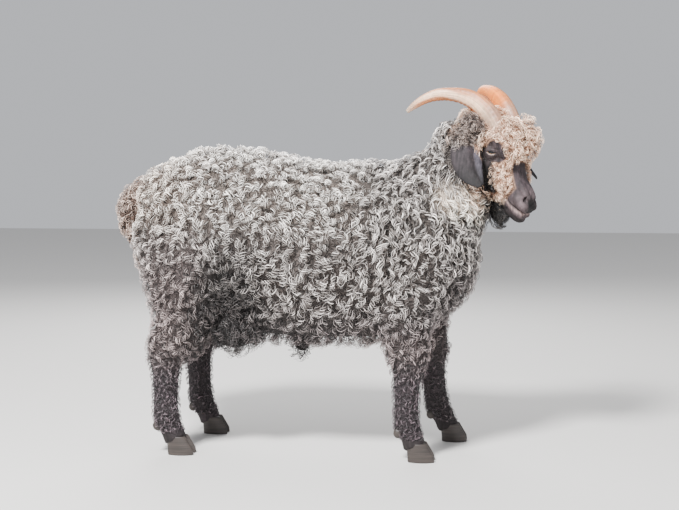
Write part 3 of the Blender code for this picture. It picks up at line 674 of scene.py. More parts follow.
def skinTone(points, parts):
    # the under-wool, from the middles and roots: painted shade between the locks
    colour = 0.32 * coatTone(points, 1) + 0.68 * coatTone(points, 2)
    s, level = moved(toSkull, points), inLevelHead(points)
    x, y, z = s.T
    pick = {name: hexToLinear(value) for name, value in bare.items()}
    line = mouthHeight(s)
    onFace = ease(0.150, 0.165, x)
    pad = ease(0.190, 0.203, x) * ease(-0.018, -0.006, z) * ease(0.016, 0.008, np.abs(y))
    pinna = onEars(parts).astype(float)
    face = painted(
        np.tile(pick["bridge"], (len(points), 1)),
        pick,
        ("muzzle", ease(0.160, 0.192, x)),
        ("chin", ease(0.004, -0.008, z - line + 0.014) * onFace),
        ("lowerLip", bell(z - line + 0.0047, 0.0029) * onFace * 0.9),
        ("nosePad", pad),
        ("mouth", bell(z - line, 0.0016) * onFace),
        # painted shade in the dark gap between the ear and the cheek
        ("hollow", ease(0.022, 0.017, fromHollow(points))),
        ("ear", pinna),
        # painted highlight along the ear's front edge
        ("earBand", pinna * ease(0.42, 0.58, earAcross(level))),
    )
    face = face * (1 - 0.8 * pinna * ease(-0.02, -0.10, level[:, 2]))[:, None]
    isRim = np.arange(len(points)) >= len(points) - rimPoints
    for side in (-1, 1):
        _, across, far, _ = almond(s, side)
        # painted highlight along the rim of the lower lid
        edge = isRim * ease(0.03, 0.02, far) * ease(0.0, -0.0025, across)
        nostril = np.clip(inNostril(s, side) * 1.7, 0, 1)
        face = painted(face, pick, ("lid", ease(0.034, 0.026, far)), ("lidEdge", edge), ("nostril", nostril))
    share = bareShare(points, parts)[:, None]
    return colour * (1 - share) + face * share


def partRows():  # every part's name, sections and matrix, in the order of the coat's unwrap
    for name in ("torso", "neck", "tail"):
        yield name, body[name], Matrix()
    for leg in body["footAhead"]:
        yield leg, legRows(leg), Matrix()
    yield "head", head["skull"], skullPlace
    for side, name in ((-1, "earRight"), (1, "earLeft")):
        leaf = tuple((*row[:3], 0.010, row[3], 0.0) for row in ear["rows"])
        yield name, leaf, levelHead @ Matrix.Diagonal((1, side, 1, 1))


def layOut():  # each skin vertex: depth of coat over it, part, and place along and round the part
    parts = list(partRows())
    steps, sides = 60, 40
    t, a = np.meshgrid(np.linspace(0, 1, steps), fullTurn(sides), indexing="ij")
    t, a = t.ravel(), a.ravel()
    tree = KDTree(len(parts) * steps * sides)
    data = []
    for number, (name, rows, place) in enumerate(parts):
        here, side, up = sectionsAt(rows, t)
        share = head["share"] if name == "head" else body["share"]
        wide, high = here[:, 3] + here[:, 5] * share, here[:, 4] + here[:, 5] * share
        points = here[:, :3] + side * (wide * np.cos(a))[:, None] + up * (high * np.sin(a))[:, None]
        for k, point in enumerate(moved(place, points)):
            tree.insert(point, len(data) + k)
        data += list(zip(here[:, 5], [number] * len(t), t, a))
    tree.balance()
    found = [tree.find(point)[1] for point in skinPoints]
    return np.array(data)[found], [name for name, _, _ in parts]


skinPoints = readValues(skin.data.vertices, "co")
skinNormals = readValues(skin.data.vertex_normals, "vector")
layout, partNames = layOut()
partOf = layout[:, 1].astype(int)
overSkull = isPart(partOf, "head") & (moved(toSkull, skinPoints)[:, 2] > 0)
coatDepth = np.where(onEars(partOf), 0.036, layout[:, 0]) + np.where(overSkull, 0.010, 0)
edges = readValues(skin.data.edges, "vertices", 2, np.int32)
valence = np.bincount(edges.ravel(), minlength=len(skinPoints)).clip(1)
for _ in range(25):  # evens the coat's depth over the joins between parts
    total = np.bincount(edges[:, 0], coatDepth[edges[:, 1]], len(skinPoints))
    total += np.bincount(edges[:, 1], coatDepth[edges[:, 0]], len(skinPoints))
    coatDepth = 0.5 * coatDepth + 0.5 * total / valence
bareness = bareShare(skinPoints, partOf)
store(skin.data, "tone", skinTone(skinPoints, partOf), "FLOAT_COLOR")
store(skin.data, "woolly", 1 - bareness)
acrossStrip = 0.04 + 0.92 * layout[:, 3] / (2 * np.pi)  # each part has a strip of the unwrap of its own
unwrapped = np.column_stack(((partOf + acrossStrip) / len(partNames), 0.02 + 0.96 * layout[:, 2]))
print("layout done")

# Sizes of each kind of coat, in metres. strand: half thickness, many times that of real mohair, since finer
# strands would take far more triangles. spread: share of a turn over which a lock's strands are set apart.
# apart: their gap along it. swirl: how far the locks turn from the way the coat lies, in radians.
coatSizes = ("spacing", "length", "curl", "pitch", "spread", "strand", "apart", "strands", "rings", "swirl")
coatRows = {
    "side": (0.0094, 0.030, 0.0065, 0.0165, 0.84, 0.00072, 0.0006, 3, 12, 1.05),
    "neck": (0.0094, 0.050, 0.0058, 0.0250, 0.50, 0.00076, 0.0010, 3, 14, 0.50),
    "tail": (0.0078, 0.030, 0.0052, 0.0160, 0.84, 0.00074, 0.0006, 3, 11, 0.7),
    "crown": (0.0045, 0.019, 0.0040, 0.0120, 0.80, 0.00048, 0.0004, 3, 11, 1.2),
    "cheek": (0.0042, 0.014, 0.0029, 0.0092, 0.80, 0.00043, 0.0003, 3, 10, 1.0),
    "thigh": (0.0094, 0.027, 0.0054, 0.0155, 0.84, 0.00070, 0.0006, 3, 11, 0.95),
    "cannon": (0.0062, 0.014, 0.0026, 0.0090, 0.5, 0.0006, 0.0012, 2, 7, 0.7),
}
coats = {name: dict(zip(coatSizes, row)) for name, row in coatRows.items()}
groom = {
    "fall": Vector((-0.12, 0, -1)),
    "tuftPatch": 0.003,  # width of one lock's place on the unwrap
    "flat": 0.80,  # thickness of a strand as a share of its width
    "bleached": 0.85,  # painted light and shade: how much lighter the outer side of each curl is painted, and how much darker its inner side
    "uneven": 0.30,  # spread of lightness from strand to strand
    "reach": 0.40,  # how far the locks stand over the under-wool, as a share of the whole coat's depth
    "lengths": (0.75, 1.2),  # shares of a lock's own sizes, from the least to the most
    "turns": (0.8, 1.25),
    "curls": (0.65, 1.2),
    "girths": (0.8, 1.25),
    "hang": 0.30,  # how far a lock under the body hangs from it, as a share of its length
    "lift": (0.02, 0.62, 0.92, 1.0, 0.92),  # height of a lock's line from root to tip, as a share
}


def zoneShares():  # how much each kind of coat grows at each skin vertex
    s = moved(toSkull, skinPoints)
    x, y, z = skinPoints.T
    onHead, inEar = isPart(partOf, "head"), onEars(partOf)
    onLeg = isPart(partOf, *body["footAhead"])
    # thinner under the body and on the inner sides of the legs
    haired = np.clip(1 - bareness * 1.6, 0, 1) * (1 - 0.45 * ease(-0.3, -0.9, skinNormals[:, 2]) * (z > 0.2))
    haired *= 1 - 0.5 * ease(0.3, 0.8, -skinNormals[:, 1] * np.sign(y)) * (onLeg & (z < 0.34))
    top = onHead & (s[:, 2] > -0.004) & (s[:, 0] < 0.106) & ~inEar
    mane = isPart(partOf, "torso") & (x > 0.13) & (z > 0.42)
    zones = {
        "side": isPart(partOf, "torso") & ~mane,
        "neck": isPart(partOf, "neck") | mane,
        "tail": isPart(partOf, "tail"),
        "crown": top | inEar,
        "cheek": onHead & ~top & ~inEar,
        "thigh": onLeg & (z > 0.225),
        "cannon": onLeg & (z <= 0.225),
    }
    return {name: where * haired for name, where in zones.items()}


def newTree(name, **inputs):  # a Geometry Nodes tree, with its input sockets' names and kinds
    tree = bpy.data.node_groups.new(name, "GeometryNodeTree")
    for label, kind in inputs.items():
        tree.interface.new_socket(label, in_out="INPUT", socket_type="NodeSocket" + kind)
    tree.interface.new_socket("Geometry", in_out="OUTPUT", socket_type="NodeSocketGeometry")
    return tree, addNode(tree, "NodeGroupInput", take=None).outputs


def attribute(tree, name, kind="FLOAT"):
    return addNode(tree, "GeometryNodeInputNamedAttribute", {"Name": name}, data_type=kind)


def stored(tree, geometry, name, value, kind, domain):
    inputs = {"Geometry": geometry, "Name": name, "Value": value}
    return addNode(tree, "GeometryNodeStoreNamedAttribute", inputs, data_type=kind, domain=domain)


def reckon(tree, operation, *values):
    return addNode(tree, "ShaderNodeMath", dict(enumerate(values)), operation=operation)


def scatterTree():  # scatters the roots of locks over the skin, no two closer than the spacing
    tree, given = newTree("scatterRoots", Geometry="Geometry", Spacing="Float", Seed="Int")
    square = reckon(tree, "MULTIPLY", given["Spacing"], given["Spacing"])
    links = {
        "Mesh": given["Geometry"],
        "Distance Min": given["Spacing"],
        "Density Max": reckon(tree, "DIVIDE", 1.6, square),
        "Density Factor": attribute(tree, "grows"),
        "Seed": given["Seed"],
    }
    spread = addNode(tree, "GeometryNodeDistributePointsOnFaces", links, None, distribute_method="POISSON")
    found = spread.outputs
    kept = stored(tree, found["Points"], "outward", found["Normal"], "FLOAT_VECTOR", "POINT")
    points = addNode(tree, "GeometryNodePointsToVertices", {"Points": kept})
    addNode(tree, "NodeGroupOutput", {"Geometry": points}, take=None)
    return tree


def strandTree():  # a tapering tube round each strand's line, its patch on the unwrap, and its material
    tree, given = newTree("strandTubes", Geometry="Geometry", Sides="Int", Flat="Float", Material="Material")
    lines = addNode(tree, "GeometryNodeMeshToCurve", {"Mesh": given["Geometry"]})
    circle = addNode(tree, "GeometryNodeCurvePrimitiveCircle", {"Resolution": given["Sides"], "Radius": 1.0})
    flat = addNode(tree, "ShaderNodeCombineXYZ", {"X": 1.0, "Y": given["Flat"], "Z": 1.0})
    profile = addNode(tree, "GeometryNodeTransform", {"Geometry": circle, "Scale": flat})
    links = {"Curve": lines, "Profile Curve": profile, "Scale": attribute(tree, "girth"), "Fill Caps": True}
    tubes = addNode(tree, "GeometryNodeCurveToMesh", links)
    mapped = stored(tree, tubes, "OFBake", attribute(tree, "unwrap", "FLOAT_VECTOR"), "FLOAT2", "CORNER")
    soft = addNode(tree, "GeometryNodeSetShadeSmooth", {"Geometry": mapped})
    real = addNode(tree, "GeometryNodeRealizeInstances", {"Geometry": soft})
    done = addNode(tree, "GeometryNodeSetMaterial", {"Geometry": real, "Material": given["Material"]})
    addNode(tree, "NodeGroupOutput", {"Geometry": done}, take=None)
    return tree


def applyTree(obj, tree, values):
    nodes = obj.modifiers.new(tree.name, "NODES")
    nodes.node_group = tree
    for item in tree.interface.items_tree:
        if item.in_out == "INPUT" and item.name in values:
            nodes[item.identifier] = values[item.name]
    return settle(obj)


scatter, strandTubes = scatterTree(), strandTree()
skinTree = BVHTree.FromPolygons(skinPoints.tolist(), [tuple(p.vertices) for p in skin.data.polygons])
faceStart = np.array([p.vertices[0] for p in skin.data.polygons])


def onSkin(points):  # the skin nearest to each point: its place, its normal and its part
    found = [skinTree.find_nearest(point) for point in points]
    place, normal = (np.array([tuple(row[k]) for row in found]) for k in (0, 1))
    return place, unit(normal), partOf[faceStart[[row[2] for row in found]]]


def inHorn(points):  # 1 where a point lies in a horn or just over it
    rows = rowsAt(horn["rows"], np.linspace(0, 1, 50))
    away = np.linalg.norm(inLevelHead(points)[:, None] - rows[None, :, :3], axis=2) - rows[None, :, 3] * 0.95
    return (away.min(1) < 0.002).astype(float)


def findRoots(name, share, seed):  # each lock's root: place, normal, place on the unwrap, depth of coat there
    copy = linked("roots", skin.data.copy())
    store(copy.data, "grows", share)
    store(copy.data, "depth", coatDepth)
    store(copy.data, "unwrap", np.column_stack((unwrapped, np.zeros(len(unwrapped)))), "FLOAT_VECTOR")
    applyTree(copy, scatter, {"Spacing": coats[name]["spacing"], "Seed": seed})
    kept = copy.data.attributes
    outward, unwrap = (readValues(kept[key].data, "vector") for key in ("outward", "unwrap"))
    depth = readValues(kept["depth"].data, "value", 1)[:, 0]
    found = readValues(copy.data.vertices, "co"), outward, unwrap, depth
    bpy.data.objects.remove(copy)
    return found


def lieAt(points, outward):  # the way the coat falls, kept to the surface
    fall = np.tile(np.array(groom["fall"].normalized()), (len(points), 1))
    fall[:, 0] += 0.30 * ease(0.18, 0.30, points[:, 0])  # forward and down on the shoulder and neck
    fall[:, 1] += 1.2 * outward[:, 1] * np.maximum(outward[:, 2], 0)  # parted along the back
    flat = fall - outward * (fall * outward).sum(1)[:, None]
    weak = np.linalg.norm(flat, axis=1) < 0.15
    flat[weak] += np.cross(outward[weak], (0, 1, 0)) * -0.3
    return unit(flat)


def turned(ways, outward, angles):
    beside = np.cross(outward, ways)
    return ways * np.cos(angles)[:, None] + beside * np.sin(angles)[:, None]


def lockLines(name, points, outward, depth, tries=4):  # each lock's middle line, over the skin from its root
    coat, lift, count = coats[name], groom["lift"], len(points)
    swirl = chance.normal(0, coat["swirl"] + 0.5 * (4 - tries), count)
    length = coat["length"] * chance.uniform(*groom["lengths"], count) * (0.55 + 0.15 * (tries - 1))
    layer = chance.uniform(0.10, 1.0, count) ** 0.8
    fromEar = onEars(onSkin(points)[2])
    spot, normal, stations, crossed = points, outward, [], np.zeros(count)
    for rise in lift:
        height = (0.0015 + (depth * groom["reach"] - coat["curl"] * 0.7).clip(0.001) * layer) * rise
        stations.append(spot + normal * height[:, None])
        way = turned(lieAt(spot, normal), normal, swirl)
        spot, normal, part = onSkin(spot + way * (length / (len(lift) - 1))[:, None])
        onEar = onEars(onSkin(stations[-1])[2]) & ~fromEar
        onFace = bareShare(spot, part) * ~(fromEar & onEars(part))
        crossed = np.maximum.reduce((crossed, onFace, onEar.astype(float), inHorn(stations[-1])))
    hang = np.maximum(0, -outward[:, 2]) ** 2 * length * groom["hang"]
    for k in range(1, len(lift)):
        stations[k][:, 2] -= hang * (k / (len(lift) - 1)) ** 1.5
    lines, clear = np.stack(stations, 1), crossed < 0.5
    if tries > 1 and not clear.all():  # a lock over a bare place lies another way instead, and shorter
        again = ~clear
        parts = lockLines(name, points[again], outward[again], depth[again], tries - 1)
        lines[again], length[again], layer[again], clear[again] = parts
    return lines, length, layer, clear


def growStrands(name, points, outward, depth):
    coat = coats[name]
    lines, length, layer, clear = lockLines(name, points, outward, depth)
    count, rings, strands = len(points), coat["rings"], coat["strands"]
    s = np.linspace(0, 1, rings)
    axis = np.moveaxis(rowsAt(np.moveaxis(lines, 1, 0), s), 0, 1)
    ahead = unit(np.gradient(axis, axis=1))
    beside = unit(np.cross(ahead, np.repeat(outward[:, None], rings, 1)))
    up = np.cross(beside, ahead)
    turns = np.minimum(length / coat["pitch"] * chance.uniform(*groom["turns"], count), (rings - 1) / 5.5)
    hand = chance.choice((-1, 1), count)
    start = chance.uniform(0, 2 * np.pi, count)
    radius = coat["curl"] * chance.uniform(*groom["curls"], count)
    grow = (0.15 + 0.85 * ease(0.0, 0.35, s)) * (1 - 0.35 * s**3)  # wide in the middle, close at both ends
    out, facing = [], []
    for k in range(strands):  # the strands stand apart round the turn and along the lock, no two quite alike
        phase = start[:, None] + hand[:, None] * 2 * np.pi * turns[:, None] * (0.85 * s + 0.15 * s**2)
        phase = phase + 2 * np.pi * (coat["spread"] * k / strands + chance.normal(0, 0.05, (count, 1)))
        slip = (k - (strands - 1) / 2) * coat["apart"] * (1 + chance.normal(0, 0.25, count)[:, None])
        wide = radius[:, None] * grow * (1 + chance.normal(0, 0.10, count)[:, None])
        swing = beside * (np.cos(phase) * wide)[:, :, None] + ahead * slip[:, :, None]
        rise = up * (np.sin(phase) * wide * 0.75)[:, :, None]
        out.append(axis + swing + rise)
        # how far each point of the strand turns outward, which sets its painted light and shade
        facing.append(np.sin(phase) * grow)
    strandPoints = np.stack(out, 1)  # lock, strand, ring
    taper = (0.55 + 0.45 * ease(0, 0.2, s)) * (1 - 0.80 * ease(0.45, 1.0, s))
    girth = coat["strand"] * taper * chance.uniform(*groom["girths"], (count, strands, 1))
    return strandPoints, girth, layer, clear, np.stack(facing, 1)


def coatPiece(name, chunks, material):
    rows = {key: [] for key in ("co", "tone", "girth", "unwrap", "pairs")}
    first = 0
    for lines, girth, root, uv, layer, facing in chunks:
        count, strands, rings = shape = lines.shape[:3]
        s = np.tile(np.linspace(0, 1, rings), count * strands)
        # lightness differs at random from strand to strand; locks lying lower in the coat also get painted
        # shade
        shade = chance.normal(0, groom["uneven"], (count, strands, 1)) + (layer - 0.8)[:, None, None] * 0.5
        shade = np.broadcast_to(shade, shape).reshape(-1, 1)
        tips, mids, roots = (np.repeat(coatTone(root, which), strands * rings, 0) for which in (0, 1, 2))
        # dark at the root, light at the tip: painted shade deep in the coat
        tone = blend(roots, mids, ease(0.0, 0.35, s))
        tone = tone + (tips - tone) * np.clip(ease(0.2, 0.9, s)[:, None] + shade, 0, 1)
        # painted light and shade on each curl: lighter where it turns outward, darker where it turns in
        tone = tone * np.clip(1 + shade * 0.9, 0.25, 1.6) * (1 + groom["bleached"] * facing.reshape(-1, 1))
        across = np.tile(np.repeat(np.arange(strands) / strands, rings), count)
        patch = np.column_stack((across, s, s * 0)) * groom["tuftPatch"]
        start = first + np.arange(len(s)).reshape(-1, rings)
        first += len(s)
        found = {
            "co": lines.reshape(-1, 3),
            "tone": tone,
            "girth": np.broadcast_to(girth, shape).ravel(),
            "unwrap": np.repeat(uv, strands * rings, 0) + patch,
            "pairs": np.stack((start[:, :-1], start[:, 1:]), -1).reshape(-1, 2),
        }
        for key, values in found.items():
            rows[key].append(values)
    rows = {key: np.concatenate(values) for key, values in rows.items()}
    mesh = bpy.data.meshes.new(name)
    mesh.vertices.add(first)
    mesh.vertices.foreach_set("co", rows["co"].astype(np.float32).ravel())
    mesh.edges.add(len(rows["pairs"]))
    mesh.edges.foreach_set("vertices", rows["pairs"].ravel().astype(np.int32))
    store(mesh, "tone", rows["tone"], "FLOAT_COLOR")
    store(mesh, "unwrap", rows["unwrap"], "FLOAT_VECTOR")
    store(mesh, "girth", rows["girth"])
    made = linked(name, mesh)
    applyTree(made, strandTubes, {"Sides": 3, "Flat": groom["flat"], "Material": material})
    print(name, sum(len(p.vertices) - 2 for p in made.data.polygons), "triangles")
    return made


def newMaterial(name, inputs):
    made = bpy.data.materials.new(name)
    made.use_nodes = True
    shader = made.node_tree.nodes["Principled BSDF"]
    setInputs(made.node_tree, shader, inputs)
    return made, made.node_tree, shader


def objectPlace(tree):
    return addNode(tree, "ShaderNodeTexCoord", take="Object")


def stretched(tree, place, scale, rotation=(0, 0, 0)):
    return addNode(tree, "ShaderNodeMapping", {"Vector": place, "Scale": scale, "Rotation": rotation})


def noise(tree, place, scale, detail, roughness=0.5):
    inputs = {"Vector": place, "Scale": scale, "Detail": detail, "Roughness": roughness}
    return addNode(tree, "ShaderNodeTexNoise", inputs, "Fac")


def ranged(tree, value, low, high, toLow=0.0, toHigh=1.0):
    inputs = {"Value": value, "From Min": low, "From Max": high, "To Min": toLow, "To Max": toHigh}
    return addNode(tree, "ShaderNodeMapRange", inputs)


def ramp(tree, value, *stops):  # each stop: place and colour
    node = addNode(tree, "ShaderNodeValToRGB", {"Fac": value}, take=None)
    for element, (position, colour) in zip(node.color_ramp.elements, stops):
        element.position, element.color = position, (*hexToLinear(colour), 1)
    return node.outputs["Color"]


def litTone(tree, light):  # the mesh's own colours, made lighter and darker by a pattern
    tone = addNode(tree, "ShaderNodeAttribute", take="Color", attribute_name="tone")
    return addNode(tree, "ShaderNodeVectorMath", {0: tone, "Scale": light}, operation="SCALE")


def raised(tree, height, distance, strength):
    return addNode(tree, "ShaderNodeBump", {"Height": height, "Distance": distance, "Strength": strength})


def mohairMaterial():  # keratin fibre, smooth-scaled, so each curl carries a long soft gloss
    fibre = {"Roughness": 0.36, "IOR": 1.55, "Sheen Weight": 0.10}
    made, tree, shader = newMaterial("mohairFleeceCurled", fibre)
    patch = noise(tree, objectPlace(tree), scale=28.0, detail=2.0)  # fuller and flatter wool, 36 mm across
    light = ranged(tree, patch, 0.3, 0.7, toLow=0.86, toHigh=1.14)
    setInputs(tree, shader, {"Base Color": litTone(tree, light)})
    return made


def shortHairMaterial():  # skin with short flat hair: matt, with fine streaks down the lie of the hair
    made, tree, shader = newMaterial("shortGoatHairFlat", {"Roughness": 0.76, "IOR": 1.42})
    spot = objectPlace(tree)
    # the streaks are about 5 mm wide, coarser than real hair, which is too fine for a render to hold
    streak = noise(tree, stretched(tree, spot, (190.0, 190.0, 15.0), (0.1, 0.2, 0)), scale=1.0, detail=3.0)
    pores = noise(tree, spot, scale=260.0, detail=3.0)
    dapple = ranged(tree, noise(tree, spot, scale=120.0, detail=2.0), 0.35, 0.65, toLow=0.78, toHigh=1.28)
    light = reckon(tree, "MULTIPLY", ranged(tree, streak, 0.36, 0.64, toLow=0.55, toHigh=1.5), dapple)
    # under-wool: crescents about 3 mm apart, contour lines of a soft noise 22 mm across; real waves are
    # finer. They are painted light and dark, as painted light and shade of curls, and raised by the bump
    woolly = addNode(tree, "ShaderNodeAttribute", take="Fac", attribute_name="woolly")
    steep = reckon(tree, "MULTIPLY", noise(tree, spot, scale=45.0, detail=1.2), 64.0)
    curls = ranged(tree, reckon(tree, "SINE", steep), -1.0, 1.0)
    curlLight = ranged(tree, curls, 0.0, 1.0, toLow=0.35, toHigh=1.75)
    shade = addNode(tree, "ShaderNodeMix", {0: woolly, 2: light, 3: curlLight})
    heights = {0: woolly, 2: reckon(tree, "ADD", streak, pores), 3: reckon(tree, "MULTIPLY", curls, 3.0)}
    bump = raised(tree, addNode(tree, "ShaderNodeMix", heights), distance=0.0008, strength=0.7)
    setInputs(tree, shader, {"Base Color": litTone(tree, shade), "Normal": bump})
    return made


def hornMaterial():  # horn sheath, weathered keratin: amber, paler outside, greyed at the root and tip
    sheath = {"Roughness": 0.45, "IOR": 1.54, "Subsurface Weight": 0.08}
    made, tree, shader = newMaterial("hornKeratinWeathered", sheath)
    grain = addNode(tree, "ShaderNodeUVMap", uv_map="hornUv")
    # long streaks of weathering with rings across, both drawn coarser than the real fibres of the sheath
    fibre = noise(tree, stretched(tree, grain, (11.0, 2.6, 1.0)), scale=1.0, detail=4.0, roughness=0.55)
    ring = noise(tree, stretched(tree, grain, (3.0, 34.0, 1.0)), scale=1.0, detail=3.0)
    streaky = reckon(tree, "MULTIPLY_ADD", fibre, 3.0, ring)
    light = ranged(tree, streaky, 1.55, 2.35, toLow=0.55, toHigh=1.18)
    looks = {
        "Base Color": litTone(tree, light),
        "Roughness": ranged(tree, fibre, 0.0, 1.0, toLow=0.36, toHigh=0.62),
        "Normal": raised(tree, reckon(tree, "ADD", fibre, ring), distance=0.0009, strength=0.8),
    }
    setInputs(tree, shader, looks)
    return made


def clawMaterial():  # hoof horn, worn and dusty: dark, dull, with fine rings level with the ground
    made, tree, shader = newMaterial("hoofKeratinWorn", {"Roughness": 0.55, "IOR": 1.54})
    ring = noise(tree, stretched(tree, objectPlace(tree), (14.0, 14.0, 620.0)), scale=1.0, detail=4.0)
    colour = ramp(tree, ring, (0.30, "#211c1a"), (0.75, "#453c37"))
    bump = raised(tree, ring, distance=0.0006, strength=0.6)
    setInputs(tree, shader, {"Base Color": colour, "Normal": bump})
    return made


def eyeMaterial():  # living eye: amber iris with a level slit of a pupil, under a wet clear cornea
    wet = {"Roughness": 0.25, "IOR": 1.38, "Coat Weight": 1.0, "Coat Roughness": 0.03, "Coat IOR": 1.38}
    made, tree, shader = newMaterial("goatEyeWet", wet)
    gaze = addNode(tree, "ShaderNodeAttribute", take="Vector", attribute_name="gaze")
    axes = addNode(tree, "ShaderNodeSeparateXYZ", {"Vector": gaze}, take=None).outputs

    def fromMiddle(wide, tall):  # distance over the front of the eye, by its two measures
        sizes = zip("XZ", (wide, tall))
        place = {axis: reckon(tree, "MULTIPLY", axes[axis], size) for axis, size in sizes}
        flat = addNode(tree, "ShaderNodeCombineXYZ", place)
        return addNode(tree, "ShaderNodeVectorMath", {0: flat}, "Value", operation="LENGTH")

    def mixed(share, first, second):
        return addNode(tree, "ShaderNodeMix", {0: share, 6: first, 7: second}, 2, data_type="RGBA")

    iris = ramp(tree, noise(tree, gaze, scale=9.0, detail=4.0), (0.35, "#4d3216"), (0.68, "#a4763a"))
    pupilEdge = ranged(tree, fromMiddle(2.0, 5.2), 0.92, 1.04)
    irisEdge = ranged(tree, fromMiddle(1.0, 1.0), 0.66, 0.78)
    seen = mixed(pupilEdge, (*hexToLinear("#0b0c10"), 1), iris)
    setInputs(tree, shader, {"Base Color": mixed(irisEdge, seen, (*hexToLinear("#3a2a22"), 1))})
    return made


mohair, hornSheath, hoofHorn, wetEye = mohairMaterial(), hornMaterial(), clawMaterial(), eyeMaterial()
skin.data.materials.clear()
skin.data.materials.append(shortHairMaterial())


def pieceName(zone, x, y, z):  # the coat is kept in pieces, by where its roots are
    hand = "Left" if y > 0 else "Right"
    if zone == "side":
        for name, edge in (("rump", -0.25), ("loin", -0.10), ("flank", 0.05), ("rib", 0.18)):
            if x < edge:
                return name + hand
        return "shoulder" + hand
    if zone in ("thigh", "cannon"):
        return ("foreleg" if x > 0 else "hindleg") + hand
    return {"neck": "neck" + hand, "cheek": "cheeks"}.get(zone, zone)


def capital(text):
    return text[0].upper() + text[1:]


chunks = {}
for seed, (zone, share) in enumerate(zoneShares().items()):
    roots, outward, unwrap, depth = findRoots(zone, share, seed)
    lines, girth, layer, clear, facing = growStrands(zone, roots, outward, depth)
    names = np.array([pieceName(zone, *root) for root in roots])
    for name in np.unique(names):
        at = (names == name) & clear
        grown = [values[at] for values in (lines, girth, roots, unwrap, layer, facing)]
        chunks.setdefault(str(name), []).append(grown)
    print(zone, len(roots), "locks")
coatPieces = [coatPiece("coat" + capital(name), parts, mohair) for name, parts in chunks.items()]
print("coat:", sum(len(p.vertices) - 2 for piece in coatPieces for p in piece.data.polygons), "triangles")

claw = {
    # from the sole up: share of the height, then middle ahead of the foot's, half length, half width
    "rows": ((0, 0.014, 0.0297, 0.0111), (0.3, 0.013, 0.0292, 0.0111), (1, 0.003, 0.0218, 0.0099)),
    "spread": 0.0125,
    "inner": 0.80,  # flatness of the side that faces the other claw
    "point": 0.28,
    "dewclaw": (0.010, 0.0062, 0.011),
    "dewclawAt": Vector((-0.024, 0.013, -0.004)),
}


def hornForm(name, side):
    rings, sides = 150, 36
    t = np.linspace(0, 1, rings)
    here, beside, up = sectionsAt(horn["rows"], t)
    a = fullTurn(sides)
    ridge = np.sin(t * horn["growthRings"] * 2 * np.pi + 0.8 * np.sin(t * 31))
    swell = 1 + (ridge * horn["ringHeight"] * (1 - t) ** 0.6 / here[:, 3])[:, None] * (0.6 + 0.4 * np.sin(a))
    keel = 1 + horn["keel"] * np.maximum(np.sin(a), 0) ** 6
    tip = np.sqrt(np.clip(1 - ((t - 0.985) / 0.015).clip(0, 1) ** 2, 0.02, 1))[:, None]
    wide = beside[:, None] * (np.cos(a) * swell * horn["flat"] * tip * here[:, 3:4] * 0.985)[:, :, None]
    high = up[:, None] * (np.sin(a) * keel * swell * tip * here[:, 3:4] * 0.985)[:, :, None]
    points = (here[:, None, :3] + wide + high).reshape(-1, 3)
    place = levelHead @ Matrix.Diagonal((1, side, 1, 1))
    made = meshObject(name, moved(place, points), tubeFaces(rings, sides, caps=True))
    tt, aa = np.repeat(t, sides), np.tile(a, rings)
    wander = 0.25 * np.sin(tt * 9 + 1) + 0.12 * np.sin(tt * 23)
    pick = {key: hexToLinear(horn[key]) for key in ("amber", "flank", "inner", "tip", "root")}
    colour = painted(
        np.tile(pick["amber"], (len(tt), 1)),
        pick,
        ("flank", ease(0.66, 0.96, np.cos(aa + wander)) * ease(1.0, 0.75, tt)),
        ("inner", ease(0.10, 0.60, -np.cos(aa))),
        ("tip", ease(0.8, 1.0, tt) * 0.6),
        ("root", ease(0.32, 0.20, tt) * 0.7),
    )
    store(made.data, "tone", colour, "FLOAT_COLOR")
    where = readValues(made.data.loops, "vertex_index", 1, np.int32)[:, 0]
    uv = np.column_stack((np.abs(np.sin(aa / 2)), tt))[where]
    made.data.uv_layers.new(name="hornUv").data.foreach_set("uv", uv.astype(np.float32).ravel())
    made.data.materials.append(hornSheath)
    return made


def eyeForm(name, side):
    made = softened(ball(name, sided(eye["at"], side), eye["ball"] * 0.998, skullPlace, 64))
    middle, corner, look, up = eyeAxes(side)
    away = (moved(toSkull, readValues(made.data.vertices, "co")) - middle) / eye["ball"]
    seen = np.column_stack((away @ corner, away @ look, away @ up))
    seen[seen[:, 1] < 0, 0] += 3  # the back of the ball has no pupil
    store(made.data, "gaze", seen, "FLOAT_VECTOR")
    made.data.materials.append(wetEye)
    return made


def clawForm(name, foot, side):
    rings, sides = 22, 40
    t = np.linspace(0, 1, rings)
    ahead, length, width = (np.interp(t, *np.array(claw["rows"])[:, (0, k)].T)[:, None] for k in (1, 2, 3))
    ripple = (1 + 0.006 * np.sin(t * 60) * (t > 0.05))[:, None]
    a = fullTurn(sides)
    inner = np.where(np.sin(a) * side < 0, claw["inner"], 1.0)
    pointed = 1 - claw["point"] * np.maximum(np.cos(a), 0) ** 2
    x = foot[0] + ahead + length * ripple * np.cos(a)
    y = foot[1] + side * claw["spread"] + width * ripple * (inner * pointed * np.sin(a))
    z = np.repeat((t * (body["coronet"] - 0.0004))[:, None], sides, 1)
    middle = foot[0] + claw["rows"][0][1]
    x[0] = middle + (x[0] - middle) * 0.96
    made = meshObject(name, np.stack((x, y, z), -1).reshape(-1, 3), tubeFaces(rings, sides, caps=True))
    made.data.materials.append(hoofHorn)
    return made


def snake(text):  # foreLeft to fore_left
    return "".join("_" + c.lower() if c.isupper() else c for c in text)


